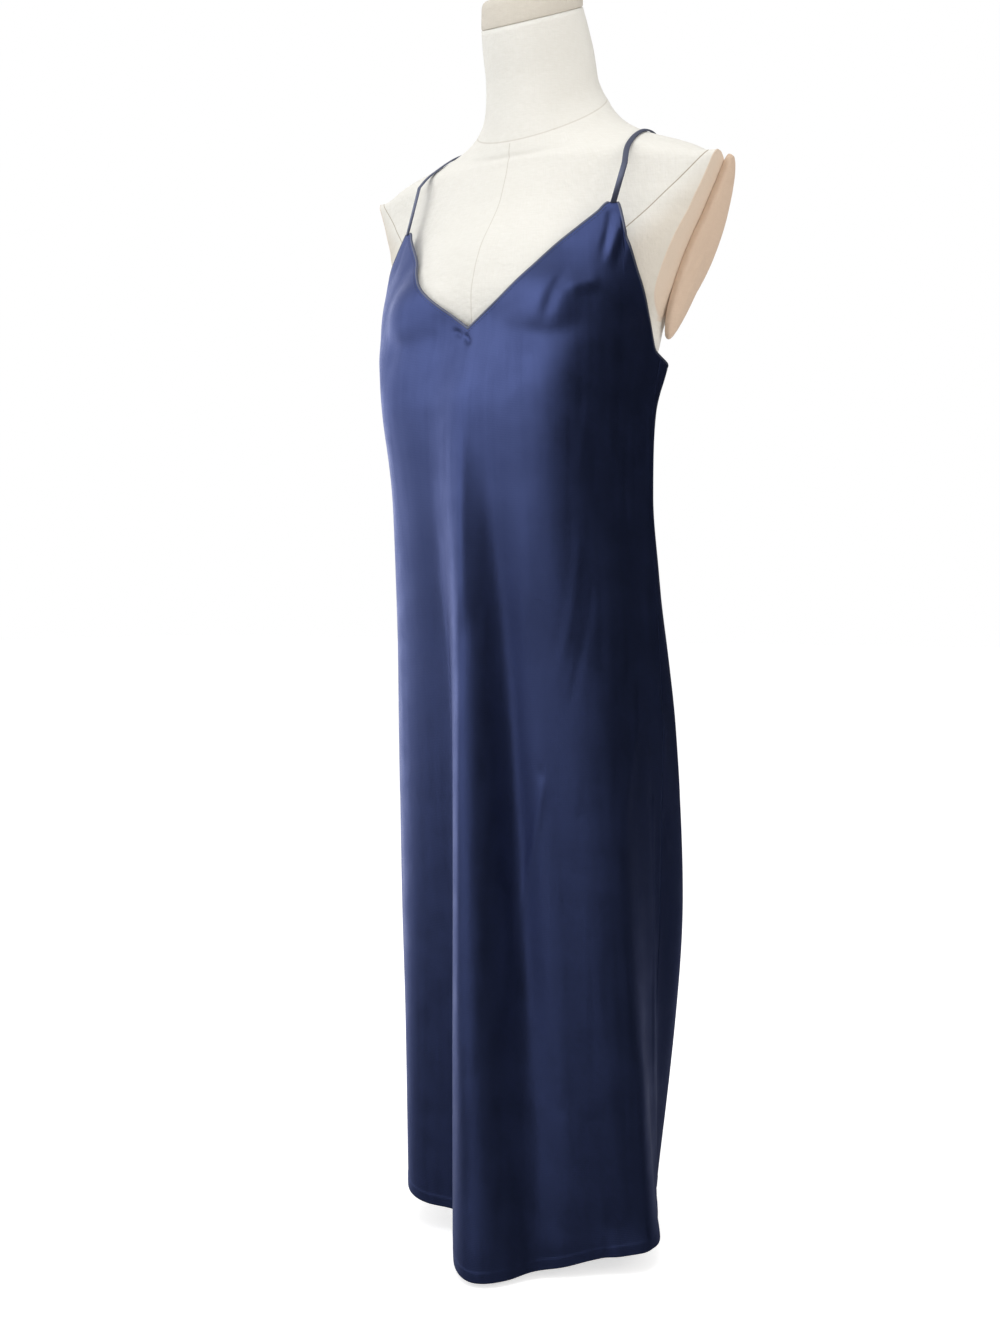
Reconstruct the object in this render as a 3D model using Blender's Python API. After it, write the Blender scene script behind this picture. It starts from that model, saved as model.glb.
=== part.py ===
"""Midi slip dress with a V neck and spaghetti straps, hanging on a limbless dress form.

World frame: metres, +Z up, the dress faces -Y and +X is its left side as worn.  The middle
of the stand's base plate is at the origin and its underside is at height 0.
"""
import math
from collections import namedtuple

import bmesh
import bpy
from mathutils import Vector
from mathutils.bvhtree import BVHTree

# ---------------------------------------------------------------- driving sizes
CLOTH_WALL = 0.0012        # thickness of the satin wall
CLOTH_CLEARANCE = 0.0021   # air between the form and the cloth where the cloth rests on it
RESTING_BLEND = 0.0070     # softens the change between resting and hanging cloth
RADIUS_ROUNDS = 5          # steps towards the radius of a ring that is off the axis
SEAM_GAP = 0.0003          # gap between two pieces at a seam
SIDE_SEAM_ANGLE = 90.0     # side seams, degrees round from the centre front
SKIRT_TURN = -3.0          # the hanging cloth's sections and folds are turned by this much

STRAP_WIDTH = 0.0056
STRAP_THICKNESS = 0.0016
STRAP_CLEARANCE = 0.0010   # air between a strap and the shoulder that it lies on
STRAP_CENTRE_HEIGHT = 0.930   # the strap goes round a point inside the shoulder at this height
STRAP_FRONT_TURN = 66.0    # where it meets the shoulder, degrees up from straight ahead
STRAP_BACK_TURN = 216.0    # where it leaves the back
STRAP_INWARD_START = {1: 0.0, -1: 0.25}   # share of its way in that each side's strap
                           # has made at the front turn
STRAP_STEPS = 40
STRAP_END_GAP = 0.0006     # gap between a strap's end and the panel's edge below it

FORM_SEGMENTS = 42

# Largest step between rings of the form, from each height up to the next row's.
RingStep = namedtuple("RingStep", "height step")
RING_STEPS = (
    RingStep(0.000, 0.0300),
    RingStep(0.880, 0.0110),
    RingStep(1.033, 0.0030),
    RingStep(1.073, 0.0300),
)

BUST_ANGLE = 37.0          # direction of each bust point from the centre front, degrees
BUST_HEIGHT = 0.880
BUST_DEPTH = 0.0300        # how far a bust point stands out of the plain section
BUST_SPREAD = 19.0         # width of a bust in degrees
BUST_RISE = 0.060          # how far a bust reaches up
BUST_FALL = 0.045          # and down

ARM_PLATE_X = 0.1890       # the arm plates' plane passes here at ARM_PLATE_TOP
ARM_PLATE_TOP = 1.0150
ARM_PLATE_BOTTOM = 0.8840  # the plane cuts nothing below this height
ARM_PLATE_LEAN = 0.42      # how far the plane comes in for each metre down
ARM_PLATE_THICKNESS = 0.0070
ARM_PLATE_DEPTH_SHARE = 0.62   # depth of the plate as a share of the cut's, from its rear
ARM_PLATE_BEND = 0.9150    # below this height the plate bends away from the plane
ARM_PLATE_STRETCH = 1.80   # and it is longer than the cut by this factor
ARM_PLATE_TAIL_LEAN = 0.15     # how far its tail comes in for each metre down
ARM_PLATE_TAIL_FORWARD = 0.35  # and how far it comes forward

BASE_RADIUS = 0.0860
BASE_THICKNESS = 0.0120
BASE_ROUNDING = 0.0025
POLE_RADIUS = 0.0140
POLE_COLLAR_RADIUS = 0.0300
POLE_COLLAR_HEIGHT = 0.0160
ROUND_SEGMENTS = 32

HEM_HEIGHT = 0.0310        # the folds reach their full size at this height

FRONT_COLUMNS = 54
FRONT_ROWS = 29
BACK_COLUMNS = 32
BACK_ROWS = 26
ROW_SPREAD = 1.35          # more than 1 puts a panel's rows closer together at its top

# ---------------------------------------------------------------- tables
# Rings of the form.  front and back are measured from the ring's own middle, which lies
# middle behind the axis; tilt is how much the ring rises for each metre towards the back.
FormRing = namedtuple(
    "FormRing", "height half_width front back middle tilt front_squareness back_squareness")
FORM_RINGS = (
    FormRing(0.4300, 0.0500, 0.0400, 0.0380, 0.000, 0.00, 2.0, 2.0),
    FormRing(0.4315, 0.0950, 0.0680, 0.0620, 0.000, 0.00, 2.0, 2.0),
    FormRing(0.4400, 0.1150, 0.0830, 0.0740, 0.000, 0.00, 2.0, 2.0),
    FormRing(0.4600, 0.1250, 0.0910, 0.0820, 0.000, 0.00, 2.0, 2.0),
    FormRing(0.5000, 0.1300, 0.0950, 0.0860, 0.000, 0.00, 2.0, 2.0),
    FormRing(0.5500, 0.1260, 0.0950, 0.0800, 0.000, 0.00, 2.0, 2.0),
    FormRing(0.6000, 0.1180, 0.0940, 0.0700, 0.000, 0.00, 2.0, 2.0),
    FormRing(0.6700, 0.1060, 0.0920, 0.0560, 0.000, 0.00, 2.0, 2.0),
    FormRing(0.7200, 0.1010, 0.0910, 0.0510, 0.000, 0.00, 2.0, 2.0),
    FormRing(0.7700, 0.1050, 0.0950, 0.0510, 0.000, 0.00, 2.0, 2.0),
    FormRing(0.8200, 0.1150, 0.1010, 0.0570, 0.000, 0.00, 2.0, 2.0),
    FormRing(0.8600, 0.1280, 0.1150, 0.0640, 0.002, 0.00, 1.9, 2.0),
    FormRing(0.8850, 0.1338, 0.1200, 0.0690, 0.003, 0.00, 1.85, 2.0),
    FormRing(0.9100, 0.1540, 0.1225, 0.0715, 0.005, 0.00, 1.65, 2.0),
    FormRing(0.9300, 0.1730, 0.1215, 0.0720, 0.009, 0.00, 1.5, 1.95),
    FormRing(0.9490, 0.1880, 0.1165, 0.0710, 0.0115, 0.00, 1.45, 1.95),
    FormRing(0.9770, 0.2000, 0.0990, 0.0710, 0.0125, 0.00, 1.45, 1.9),
    FormRing(1.0000, 0.2030, 0.0800, 0.0725, 0.0085, 0.00, 1.5, 1.85),
    FormRing(1.0200, 0.2020, 0.0670, 0.0745, 0.0025, 0.02, 1.5, 1.85),
    FormRing(1.0340, 0.1990, 0.0560, 0.0770, -0.004, 0.06, 1.5, 1.9),
    FormRing(1.0430, 0.1830, 0.0520, 0.0760, -0.0065, 0.14, 1.55, 1.95),
    FormRing(1.0530, 0.1510, 0.0495, 0.0740, -0.008, 0.24, 1.65, 2.0),
    FormRing(1.0620, 0.1190, 0.0500, 0.0680, -0.005, 0.34, 1.75, 2.0),
    FormRing(1.0720, 0.0950, 0.0540, 0.0630, -0.002, 0.43, 1.85, 2.0),
    FormRing(1.0840, 0.0780, 0.0575, 0.0580, 0.002, 0.52, 1.95, 2.0),
    FormRing(1.0960, 0.0670, 0.0580, 0.0560, 0.004, 0.58, 2.0, 2.0),
    FormRing(1.1060, 0.0605, 0.0575, 0.0540, 0.004, 0.60, 2.0, 2.0),
    FormRing(1.1180, 0.0565, 0.0550, 0.0520, 0.003, 0.58, 2.0, 2.0),
    FormRing(1.1430, 0.0540, 0.0530, 0.0510, 0.000, 0.52, 2.0, 2.0),
    FormRing(1.1700, 0.0520, 0.0510, 0.0500, -0.009, 0.46, 2.0, 2.0),
    FormRing(1.1880, 0.0500, 0.0495, 0.0485, -0.015, 0.42, 2.0, 2.0),
)

# The cap on the neck: rings above the neck's top, as shares of its size.
CapRing = namedtuple("CapRing", "rise size")
CAP_RINGS = (
    CapRing(0.0000, 0.960),
    CapRing(0.0020, 1.000),
    CapRing(0.0200, 0.995),
    CapRing(0.0255, 0.960),
    CapRing(0.0285, 0.800),
    CapRing(0.0300, 0.450),
)

# Sections of the dress as it hangs, from the hem to the top.  squareness is the exponent of
# the section's curve: 2 is an ellipse, more is boxier.
DressSection = namedtuple(
    "DressSection", "height half_width front back front_squareness back_squareness")
DRESS_SECTIONS = (
    DressSection(0.0000, 0.1330, 0.1090, 0.1000, 2.2, 2.0),
    DressSection(0.1200, 0.1370, 0.1100, 0.1020, 2.3, 2.0),
    DressSection(0.2200, 0.1390, 0.1110, 0.1020, 2.4, 2.0),
    DressSection(0.3200, 0.1410, 0.1120, 0.1020, 2.5, 2.0),
    DressSection(0.4200, 0.1400, 0.1140, 0.1010, 2.6, 2.0),
    DressSection(0.5000, 0.1380, 0.1160, 0.0980, 2.7, 2.0),
    DressSection(0.5700, 0.1350, 0.1190, 0.0900, 2.8, 2.0),
    DressSection(0.6450, 0.1310, 0.1260, 0.0730, 2.9, 2.0),
    DressSection(0.7200, 0.1270, 0.1330, 0.0580, 3.1, 2.0),
    DressSection(0.8000, 0.1270, 0.1360, 0.0570, 3.5, 2.0),
    DressSection(0.8500, 0.1330, 0.1280, 0.0660, 3.6, 2.0),
    DressSection(0.8800, 0.1350, 0.1190, 0.0710, 3.4, 2.0),
    DressSection(0.9200, 0.1420, 0.1080, 0.0740, 2.9, 2.0),
    DressSection(0.9600, 0.1560, 0.0930, 0.0740, 2.6, 2.0),
    DressSection(1.0000, 0.1650, 0.0780, 0.0740, 2.4, 2.0),
)

# Folds of the skirt.  A fold starts at start_height and runs down to the hem.  Angles are
# degrees round from the centre front, towards the wearer's left; fall is the width on the
# side with the smaller angle, lead the width on the other, both at the hem.
Fold = namedtuple(
    "Fold", "name start_height start_angle hem_angle fall lead middle_depth hem_depth")
FOLDS = (
    Fold("centre flute", 0.8600, 1.5, 17.8, 16.5, 15.5, 0.0450, 0.0860),
    Fold("front valley", 0.8100, 14.0, 36.0, 9.0, 9.0, -0.0060, 0.0000),
    Fold("left side flute", 0.6800, 60.0, 69.0, 29.0, 13.5, 0.0130, 0.0450),
    Fold("left seam valley", 0.5200, 84.0, 102.0, 6.0, 14.0, -0.0060, -0.0100),
    Fold("left back flute", 0.6200, 110.0, 112.0, 15.0, 17.0, 0.0120, -0.0040),
    Fold("middle back flute", 0.6600, 172.0, 166.0, 20.0, 18.0, 0.0200, 0.0440),
    Fold("right back flute", 0.6400, -128.0, -132.0, 17.0, 19.0, 0.0140, 0.0320),
    Fold("right side valley", 0.5600, -88.0, -92.0, 10.0, 12.0, -0.0050, -0.0080),
    Fold("right front lobe", 0.7400, -42.0, -38.0, 13.0, 17.0, 0.0040, 0.0120),
    Fold("right front valley", 0.8200, -14.0, -8.0, 17.0, 6.0, -0.0060, -0.0170),
    Fold("front fullness", 0.5600, 33.0, 43.0, 13.0, 12.0, 0.0080, 0.0200),
)
FOLD_START_WIDTH = 0.50    # a fold's width where it starts, as a share of its width at the hem
DepthStep = namedtuple("DepthStep", "share depth")

# Places where the cloth stands off the plain section, or lies in where depth is negative.
Swell = namedtuple("Swell", "name angle width height reach depth")
SWELLS = (
    Swell("left underarm", 105.0, 9.0, 0.8500, 0.055, 0.0100),
    Swell("right underarm", -105.0, 9.0, 0.8500, 0.055, 0.0070),
    Swell("right bust", -50.0, 20.0, 0.9060, 0.055, 0.0110),
    Swell("left hem corner", 80.0, 14.0, 0.0150, 0.030, 0.0060),
    Swell("right under bust", -38.0, 16.0, 0.8200, 0.060, 0.0060),
    Swell("right waist", -62.0, 14.0, 0.8000, 0.050, -0.0040),
    Swell("right armhole", -68.0, 12.0, 0.9200, 0.045, 0.0050),
)

# Height of the dress's top edge, by the angle from the centre front.
EdgePoint = namedtuple("EdgePoint", "angle height")
TOP_EDGE = (
    EdgePoint(0.0, 0.8735),
    EdgePoint(7.5, 0.8850),
    EdgePoint(17.0, 0.9000),
    EdgePoint(28.0, 0.9220),
    EdgePoint(39.0, 0.9455),
    EdgePoint(51.0, 0.9672),
    EdgePoint(56.0, 0.9768),
    EdgePoint(59.8, 0.9850),
    EdgePoint(62.6, 0.9850),
    EdgePoint(64.3, 0.9575),
    EdgePoint(66.8, 0.9405),
    EdgePoint(72.9, 0.9100),
    EdgePoint(80.5, 0.8830),
    EdgePoint(87.0, 0.8545),
    EdgePoint(102.0, 0.8440),
    EdgePoint(118.0, 0.8380),
    EdgePoint(145.0, 0.8360),
    EdgePoint(180.0, 0.8340),
)

# Height of the hem, by the angle from the centre front towards the wearer's left.
HEM_EDGE = (
    EdgePoint(-180.0, 0.0310),
    EdgePoint(-120.0, 0.0330),
    EdgePoint(-75.0, 0.0390),
    EdgePoint(-48.0, 0.0400),
    EdgePoint(-38.0, 0.0360),
    EdgePoint(-31.0, 0.0295),
    EdgePoint(-24.0, 0.0280),
    EdgePoint(-8.0, 0.0190),
    EdgePoint(8.0, 0.0080),
    EdgePoint(16.0, 0.0050),
    EdgePoint(24.0, 0.0052),
    EdgePoint(30.0, 0.0076),
    EdgePoint(38.0, 0.0096),
    EdgePoint(48.0, 0.0155),
    EdgePoint(58.0, 0.0190),
    EdgePoint(70.0, 0.0214),
    EdgePoint(80.0, 0.0240),
    EdgePoint(92.0, 0.0310),
    EdgePoint(120.0, 0.0330),
    EdgePoint(180.0, 0.0310),
)
STRAP_FIRST_ANGLE = 59.8   # the front's top is level between these angles, below a strap
STRAP_LAST_ANGLE = 62.6
STRAP_BACK_ANGLE = 129.0   # where a strap meets the back panel
ARMHOLE_COLUMNS = 9        # columns of each half of the front below its armhole

# ---------------------------------------------------------------- curves and sections
def smooth_value(rows, key, column, place):
    """Value of a column at a place along a table, on a smooth curve with no overshoot."""
    places = [getattr(row, key) for row in rows]
    values = [getattr(row, column) for row in rows]
    if place <= places[0]:
        return values[0]
    if place >= places[-1]:
        return values[-1]
    steps = [(values[i + 1] - values[i]) / (places[i + 1] - places[i])
             for i in range(len(rows) - 1)]
    slopes = [steps[0]]
    for before, after in zip(steps, steps[1:]):
        same_way = before * after > 0
        slopes.append(2 * before * after / (before + after) if same_way else 0.0)
    slopes.append(steps[-1])
    i = max(k for k in range(len(rows) - 1) if places[k] <= place)
    span = places[i + 1] - places[i]
    t = (place - places[i]) / span
    return ((2 * t ** 3 - 3 * t ** 2 + 1) * values[i] + (t ** 3 - 2 * t ** 2 + t) * span * slopes[i]
            + (3 * t ** 2 - 2 * t ** 3) * values[i + 1] + (t ** 3 - t ** 2) * span * slopes[i + 1])


def section_radius(angle, half_width, depth, squareness):
    """Distance from the middle to a boxy ellipse, in a direction measured from its depth."""
    across = abs(math.sin(math.radians(angle))) / half_width
    along = abs(math.cos(math.radians(angle))) / depth
    return (across ** squareness + along ** squareness) ** (-1.0 / squareness)


def angle_between(angle, centre):
    """Signed angle from centre to angle, within half a turn."""
    return (angle - centre + 180.0) % 360.0 - 180.0


def soft_bump(distance, fall, lead):
    """1 at distance 0, fading to 0 over fall on one side and over lead on the other."""
    width = fall if distance < 0 else lead
    return math.exp(-(distance / width) ** 2)


def bust(angle, height):
    """How far the busts stand out of the form's plain section."""
    reach = BUST_RISE if height > BUST_HEIGHT else BUST_FALL
    level = math.exp(-((height - BUST_HEIGHT) / reach) ** 2)
    return BUST_DEPTH * level * sum(
        soft_bump(angle_between(angle, side * BUST_ANGLE), BUST_SPREAD, BUST_SPREAD)
        for side in (-1, 1))


def ring_radius(row, angle):
    """Distance from a form ring's own middle to its edge, without the bust."""
    front = abs(angle_between(angle, 0.0)) < 90.0
    return section_radius(angle, row.half_width, row.front if front else row.back,
                          row.front_squareness if front else row.back_squareness)


def ring_between(height):
    """The form's ring at any height."""
    return FormRing(height, *(smooth_value(FORM_RINGS, "height", column, height)
                              for column in FormRing._fields[1:]))


def form_radius(angle, height):
    """The form's radius from the axis, where its rings are level."""
    row = ring_between(height)
    turn = math.radians(angle)
    radius = ring_radius(row, angle)
    for _ in range(RADIUS_ROUNDS):
        x, y = radius * math.sin(turn), -radius * math.cos(turn) - row.middle
        seen_from_middle = math.degrees(math.atan2(x, -y))
        radius *= ring_radius(row, seen_from_middle) / math.hypot(x, y)
    return radius + bust(angle, height)


def fold_offset(angle, height):
    """How far all the folds move the skirt out at an angle and height."""
    total = 0.0
    for fold in FOLDS:
        if height >= fold.start_height:
            continue
        share = (fold.start_height - height) / (fold.start_height - HEM_HEIGHT)
        centre = fold.start_angle + (fold.hem_angle - fold.start_angle) * share
        spread = FOLD_START_WIDTH + (1.0 - FOLD_START_WIDTH) * share
        distance = angle_between(angle, centre)
        growth = (DepthStep(0.0, 0.0), DepthStep(0.5, fold.middle_depth),
                  DepthStep(1.0, fold.hem_depth))
        total += smooth_value(growth, "share", "depth", share) * soft_bump(
            distance, fold.fall * spread, fold.lead * spread)
    for swell in SWELLS:
        level = math.exp(-((height - swell.height) / swell.reach) ** 2)
        total += swell.depth * level * soft_bump(
            angle_between(angle, swell.angle), swell.width, swell.width)
    return total


def resting_lift(angle, height):
    """Wall and air above the form, measured along the radius where the form is oblique."""
    here = form_radius(angle, height)
    around = (form_radius(angle + 1.0, height) - here) / math.radians(1.0) / here
    upward = (form_radius(angle, height + 0.002) - here) / 0.002
    return (CLOTH_WALL + CLOTH_CLEARANCE) * math.sqrt(1.0 + around ** 2 + upward ** 2)


def dress_radius(angle, height):
    """Radius of the dress's outer face: as it hangs, but never inside the form."""
    turned = angle - SKIRT_TURN
    half = "front" if abs(angle_between(turned, 0.0)) < 90.0 else "back"
    half_width, depth, squareness = (smooth_value(DRESS_SECTIONS, "height", column, height)
                                     for column in ("half_width", half, half + "_squareness"))
    hanging = section_radius(turned, half_width, depth, squareness)
    hanging += fold_offset(turned, height)
    resting = form_radius(angle, height) + resting_lift(angle, height)
    apart = math.hypot(hanging - resting, RESTING_BLEND)
    return 0.5 * (hanging + resting + apart)


def dress_point(angle, height):
    """Point of the dress's outer face."""
    radius = dress_radius(angle, height)
    turn = math.radians(angle)
    return Vector((radius * math.sin(turn), -radius * math.cos(turn), height))


def dress_normal(angle, height):
    """Outward direction of the dress's outer face."""
    around = dress_point(angle + 0.4, height) - dress_point(angle - 0.4, height)
    upward = dress_point(angle, height + 0.002) - dress_point(angle, height - 0.002)
    return around.cross(upward).normalized()


def top_height(angle):
    """Height of the top edge."""
    return smooth_value(TOP_EDGE, "angle", "height", abs(angle_between(angle, 0.0)))


def hem_height(angle):
    """Height of the hem, which dips at the centre flute."""
    return smooth_value(HEM_EDGE, "angle", "height", angle_between(angle, 0.0))


# ---------------------------------------------------------------- building blocks
def start_scene(name):
    """Empty the scene and give it one collection for the object."""
    for item in list(bpy.data.objects):
        bpy.data.objects.remove(item, do_unlink=True)
    collection = bpy.data.collections.new(name)
    bpy.context.scene.collection.children.link(collection)
    return collection


def finish_material(name, colour, roughness, metallic=0.0):
    """A plain finish with its own shader."""
    material = bpy.data.materials.new(name)
    material.use_nodes = True
    shader = material.node_tree.nodes["Principled BSDF"]
    shader.inputs["Base Color"].default_value = (*colour, 1.0)
    shader.inputs["Roughness"].default_value = roughness
    shader.inputs["Metallic"].default_value = metallic
    return material


def add_solid(collection, name, points, faces, material, smooth=True):
    """A closed body from points and faces, with its faces turned outwards."""
    mesh = bpy.data.meshes.new(name)
    mesh.from_pydata([tuple(p) for p in points], [], faces)
    mesh.materials.append(material)
    work = bmesh.new()
    work.from_mesh(mesh)
    bmesh.ops.recalc_face_normals(work, faces=work.faces)
    for face in work.faces:
        face.smooth = smooth
    work.to_mesh(mesh)
    work.free()
    solid = bpy.data.objects.new(name, mesh)
    collection.objects.link(solid)
    return solid


def ring_loft(rings, bottom, top):
    """Points and faces of a body through closed rings, closed at both ends by a point."""
    count = len(rings[0])
    points = [bottom] + [p for ring in rings for p in ring] + [top]
    faces = []
    for i in range(count):
        after = (i + 1) % count
        faces.append((0, 1 + after, 1 + i))
        for level in range(len(rings) - 1):
            here, above = 1 + level * count, 1 + (level + 1) * count
            faces.append((here + i, here + after, above + after, above + i))
        last = 1 + (len(rings) - 1) * count
        faces.append((last + i, last + after, len(points) - 1))
    return points, faces


def turned_body(profile, segments):
    """Rings for a round body standing on the Z axis, from (radius, height) pairs."""
    return [[Vector((radius * math.cos(2 * math.pi * i / segments),
                     radius * math.sin(2 * math.pi * i / segments), height))
             for i in range(segments)] for radius, height in profile]


def cloth_panel(collection, name, angle_at, columns, rows, material):
    """A cloth wall between the top edge and the hem, with its inner face moved in.

    Each cell of the wall is split along its shorter diagonal.
    """
    outer, inner = [], []
    for i in range(columns):
        for j in range(rows):
            share = (j / (rows - 1)) ** ROW_SPREAD
            middle_angle = angle_at(i, 0.5)
            top, hem = top_height(middle_angle), hem_height(middle_angle)
            height = top + (hem - top) * share
            angle = angle_at(i, height)
            point = dress_point(angle, height)
            outer.append(point)
            inner.append(point - dress_normal(angle, height) * CLOTH_WALL)
    points = outer + inner
    back = len(outer)
    faces = []

    def at(i, j):
        return i * rows + j

    for i in range(columns - 1):
        for j in range(rows - 1):
            a, b, c, d = at(i, j), at(i + 1, j), at(i + 1, j + 1), at(i, j + 1)
            first_is_short = (outer[a] - outer[c]).length < (outer[b] - outer[d]).length
            halves = ((a, d, c), (a, c, b)) if first_is_short else ((a, d, b), (d, c, b))
            for half in halves:
                faces.append(half)
                faces.append(tuple(back + k for k in reversed(half)))
        for j in (0, rows - 1):
            faces.append((at(i, j), at(i + 1, j), back + at(i + 1, j), back + at(i, j)))
    for i in (0, columns - 1):
        for j in range(rows - 1):
            faces.append((at(i, j), at(i, j + 1), back + at(i, j + 1), back + at(i, j)))
    return add_solid(collection, name, points, faces, material)


# ---------------------------------------------------------------- the dress
def seam_angle(side, height, towards_back):
    """Angle of a panel's edge at a side seam, half the seam gap away from it."""
    radius = dress_radius(side * SIDE_SEAM_ANGLE, height)
    half_gap = math.degrees(0.6 * SEAM_GAP / radius)
    return side * (SIDE_SEAM_ANGLE + (half_gap if towards_back else -half_gap))


def front_angle(column, height):
    """Angle of a column of the front panel, with two columns at the ends of a strap's width."""
    half = FRONT_COLUMNS // 2
    side = -1 if column < half else 1
    step = abs(column - half + 0.5) - 0.5
    last, strap_step = half - 1, half - ARMHOLE_COLUMNS - 1
    if step == last:
        return seam_angle(side, height, False)
    if step <= strap_step:
        return side * STRAP_FIRST_ANGLE * (step + 0.5) / (strap_step + 0.5)
    share = (step - strap_step - 1) / (last - strap_step - 1)
    return side * (STRAP_LAST_ANGLE + (SIDE_SEAM_ANGLE - STRAP_LAST_ANGLE) * share)


def back_angle(column, height):
    """Angle of a column of the back panel, from the left side seam round to the right one."""
    if column == 0:
        return seam_angle(1, height, True)
    if column == BACK_COLUMNS - 1:
        return seam_angle(-1, height, True)
    share = column / (BACK_COLUMNS - 1)
    return SIDE_SEAM_ANGLE + (360.0 - 2 * SIDE_SEAM_ANGLE) * share


def build_strap(collection, name, side, form_surface, material):
    """A flat strap from the top of the front, over the shoulder, to the top of the back."""
    front_end = side * 0.5 * (STRAP_FIRST_ANGLE + STRAP_LAST_ANGLE)
    back_end = side * STRAP_BACK_ANGLE
    first = dress_point(front_end, top_height(front_end) + STRAP_END_GAP)
    last = dress_point(back_end, top_height(back_end) + STRAP_END_GAP)
    inside_front = Vector((first.x, 0.0, STRAP_CENTRE_HEIGHT))
    inside_back = Vector((last.x, 0.0, STRAP_CENTRE_HEIGHT))
    lift = 0.5 * STRAP_THICKNESS + STRAP_CLEARANCE
    middles = [(first, dress_normal(front_end, first.z))]
    for i in range(STRAP_STEPS):
        share = i / (STRAP_STEPS - 1)
        turn = math.radians(STRAP_FRONT_TURN + (STRAP_BACK_TURN - STRAP_FRONT_TURN) * share)
        inward = STRAP_INWARD_START[side] + (1.0 - STRAP_INWARD_START[side]) * share
        centre = inside_front.lerp(inside_back, inward)
        ray = Vector((0.0, -math.cos(turn), math.sin(turn)))
        hit, normal, _, _ = form_surface.ray_cast(centre, ray)
        middles.append((hit + normal * lift, normal))
    middles.append((last, dress_normal(back_end, last.z)))
    return sweep_tape(collection, name, relaxed_path(middles), material)


def relaxed_path(middles):
    """The strap's middle line, pulled straight where the shoulder is hollow below it."""
    line = [list(pair) for pair in middles]
    for _ in range(60):
        for i in range(1, len(line) - 1):
            between = (line[i - 1][0] + line[i + 1][0]) * 0.5
            outward = (between - line[i][0]).dot(line[i][1])
            if outward > 0:
                line[i][0] = line[i][0] + line[i][1] * outward
    return [tuple(pair) for pair in line]


def sweep_tape(collection, name, path, material):
    """A flat tape along a path of (point, outward direction)."""
    half_width, half_thick = 0.5 * STRAP_WIDTH, 0.5 * STRAP_THICKNESS
    bevel = 0.6 * half_thick
    outline = ((-half_width, -half_thick), (half_width, -half_thick),
               (half_width, half_thick - bevel), (half_width - bevel, half_thick),
               (-half_width + bevel, half_thick), (-half_width, half_thick - bevel))
    rings = []
    for i, (point, outward) in enumerate(path):
        ends = (0, len(path) - 1)
        ahead = (Vector((0.0, 0.0, 1.0 if i == 0 else -1.0)) if i in ends
                 else path[i + 1][0] - path[i - 1][0])
        across = ahead.cross(outward).normalized()
        up = across.cross(ahead).normalized()
        rings.append([point + across * a + up * b for a, b in outline])
    first = sum(rings[0], Vector()) / len(outline)
    last = sum(rings[-1], Vector()) / len(outline)
    points, faces = ring_loft(rings, first, last)
    return add_solid(collection, name, points, faces, material, smooth=False)


# ---------------------------------------------------------------- the form and its stand
def form_ring(row, size=1.0, rise=0.0):
    """Points of one ring of the form, tilted with the neck."""
    ring = []
    for i in range(FORM_SEGMENTS):
        angle = 360.0 * i / FORM_SEGMENTS
        radius = size * ring_radius(row, angle) + bust(angle, row.height)
        turn = math.radians(angle)
        x, y = radius * math.sin(turn), -radius * math.cos(turn)
        ring.append(Vector((x, row.middle + y, row.height + rise + row.tilt * y)))
    return ring


def form_rings():
    """Rings of the torso and neck, with rings added between rows that are far apart."""
    rows = [FORM_RINGS[0]]
    for before, after in zip(FORM_RINGS, FORM_RINGS[1:]):
        step = [row.step for row in RING_STEPS if row.height <= before.height][-1]
        extra = int((after.height - before.height) / step)
        for k in range(1, extra + 1):
            height = before.height + (after.height - before.height) * k / (extra + 1)
            rows.append(ring_between(height))
        rows.append(after)
    return [form_ring(row) for row in rows]


def lowest_height(part):
    """Height of a mesh part's lowest point."""
    return part.co.z if isinstance(part, bmesh.types.BMVert) else min(v.co.z for v in part.verts)


def build_torso(collection, material):
    """Torso and neck in one body, cut flat at both arm stubs."""
    rings = form_rings()
    base = sum(rings[0], Vector()) / FORM_SEGMENTS
    top = sum(rings[-1], Vector()) / FORM_SEGMENTS
    points, faces = ring_loft(rings, base, top)
    torso = add_solid(collection, "form_torso", points, faces, material)
    outlines = []
    work = bmesh.new()
    work.from_mesh(torso.data)
    for side in (1, -1):
        origin = Vector((side * ARM_PLATE_X, 0.0, ARM_PLATE_TOP))
        outward = Vector((side, 0.0, -ARM_PLATE_LEAN)).normalized()
        shoulder = [part for group in (work.verts, work.edges, work.faces) for part in group
                    if lowest_height(part) > ARM_PLATE_BOTTOM]
        cut = bmesh.ops.bisect_plane(
            work, geom=shoulder, dist=0.00001,
            plane_co=origin, plane_no=outward, clear_outer=True)
        rim = [e for e in cut["geom_cut"] if isinstance(e, bmesh.types.BMEdge)]
        filled = bmesh.ops.contextual_create(work, geom=rim)["faces"][0]
        filled.smooth = False
        outlines.append(([v.co.copy() for v in filled.verts], outward))
    bmesh.ops.recalc_face_normals(work, faces=work.faces)
    work.to_mesh(torso.data)
    surface = BVHTree.FromBMesh(work)
    work.free()
    return torso, outlines, surface


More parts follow.
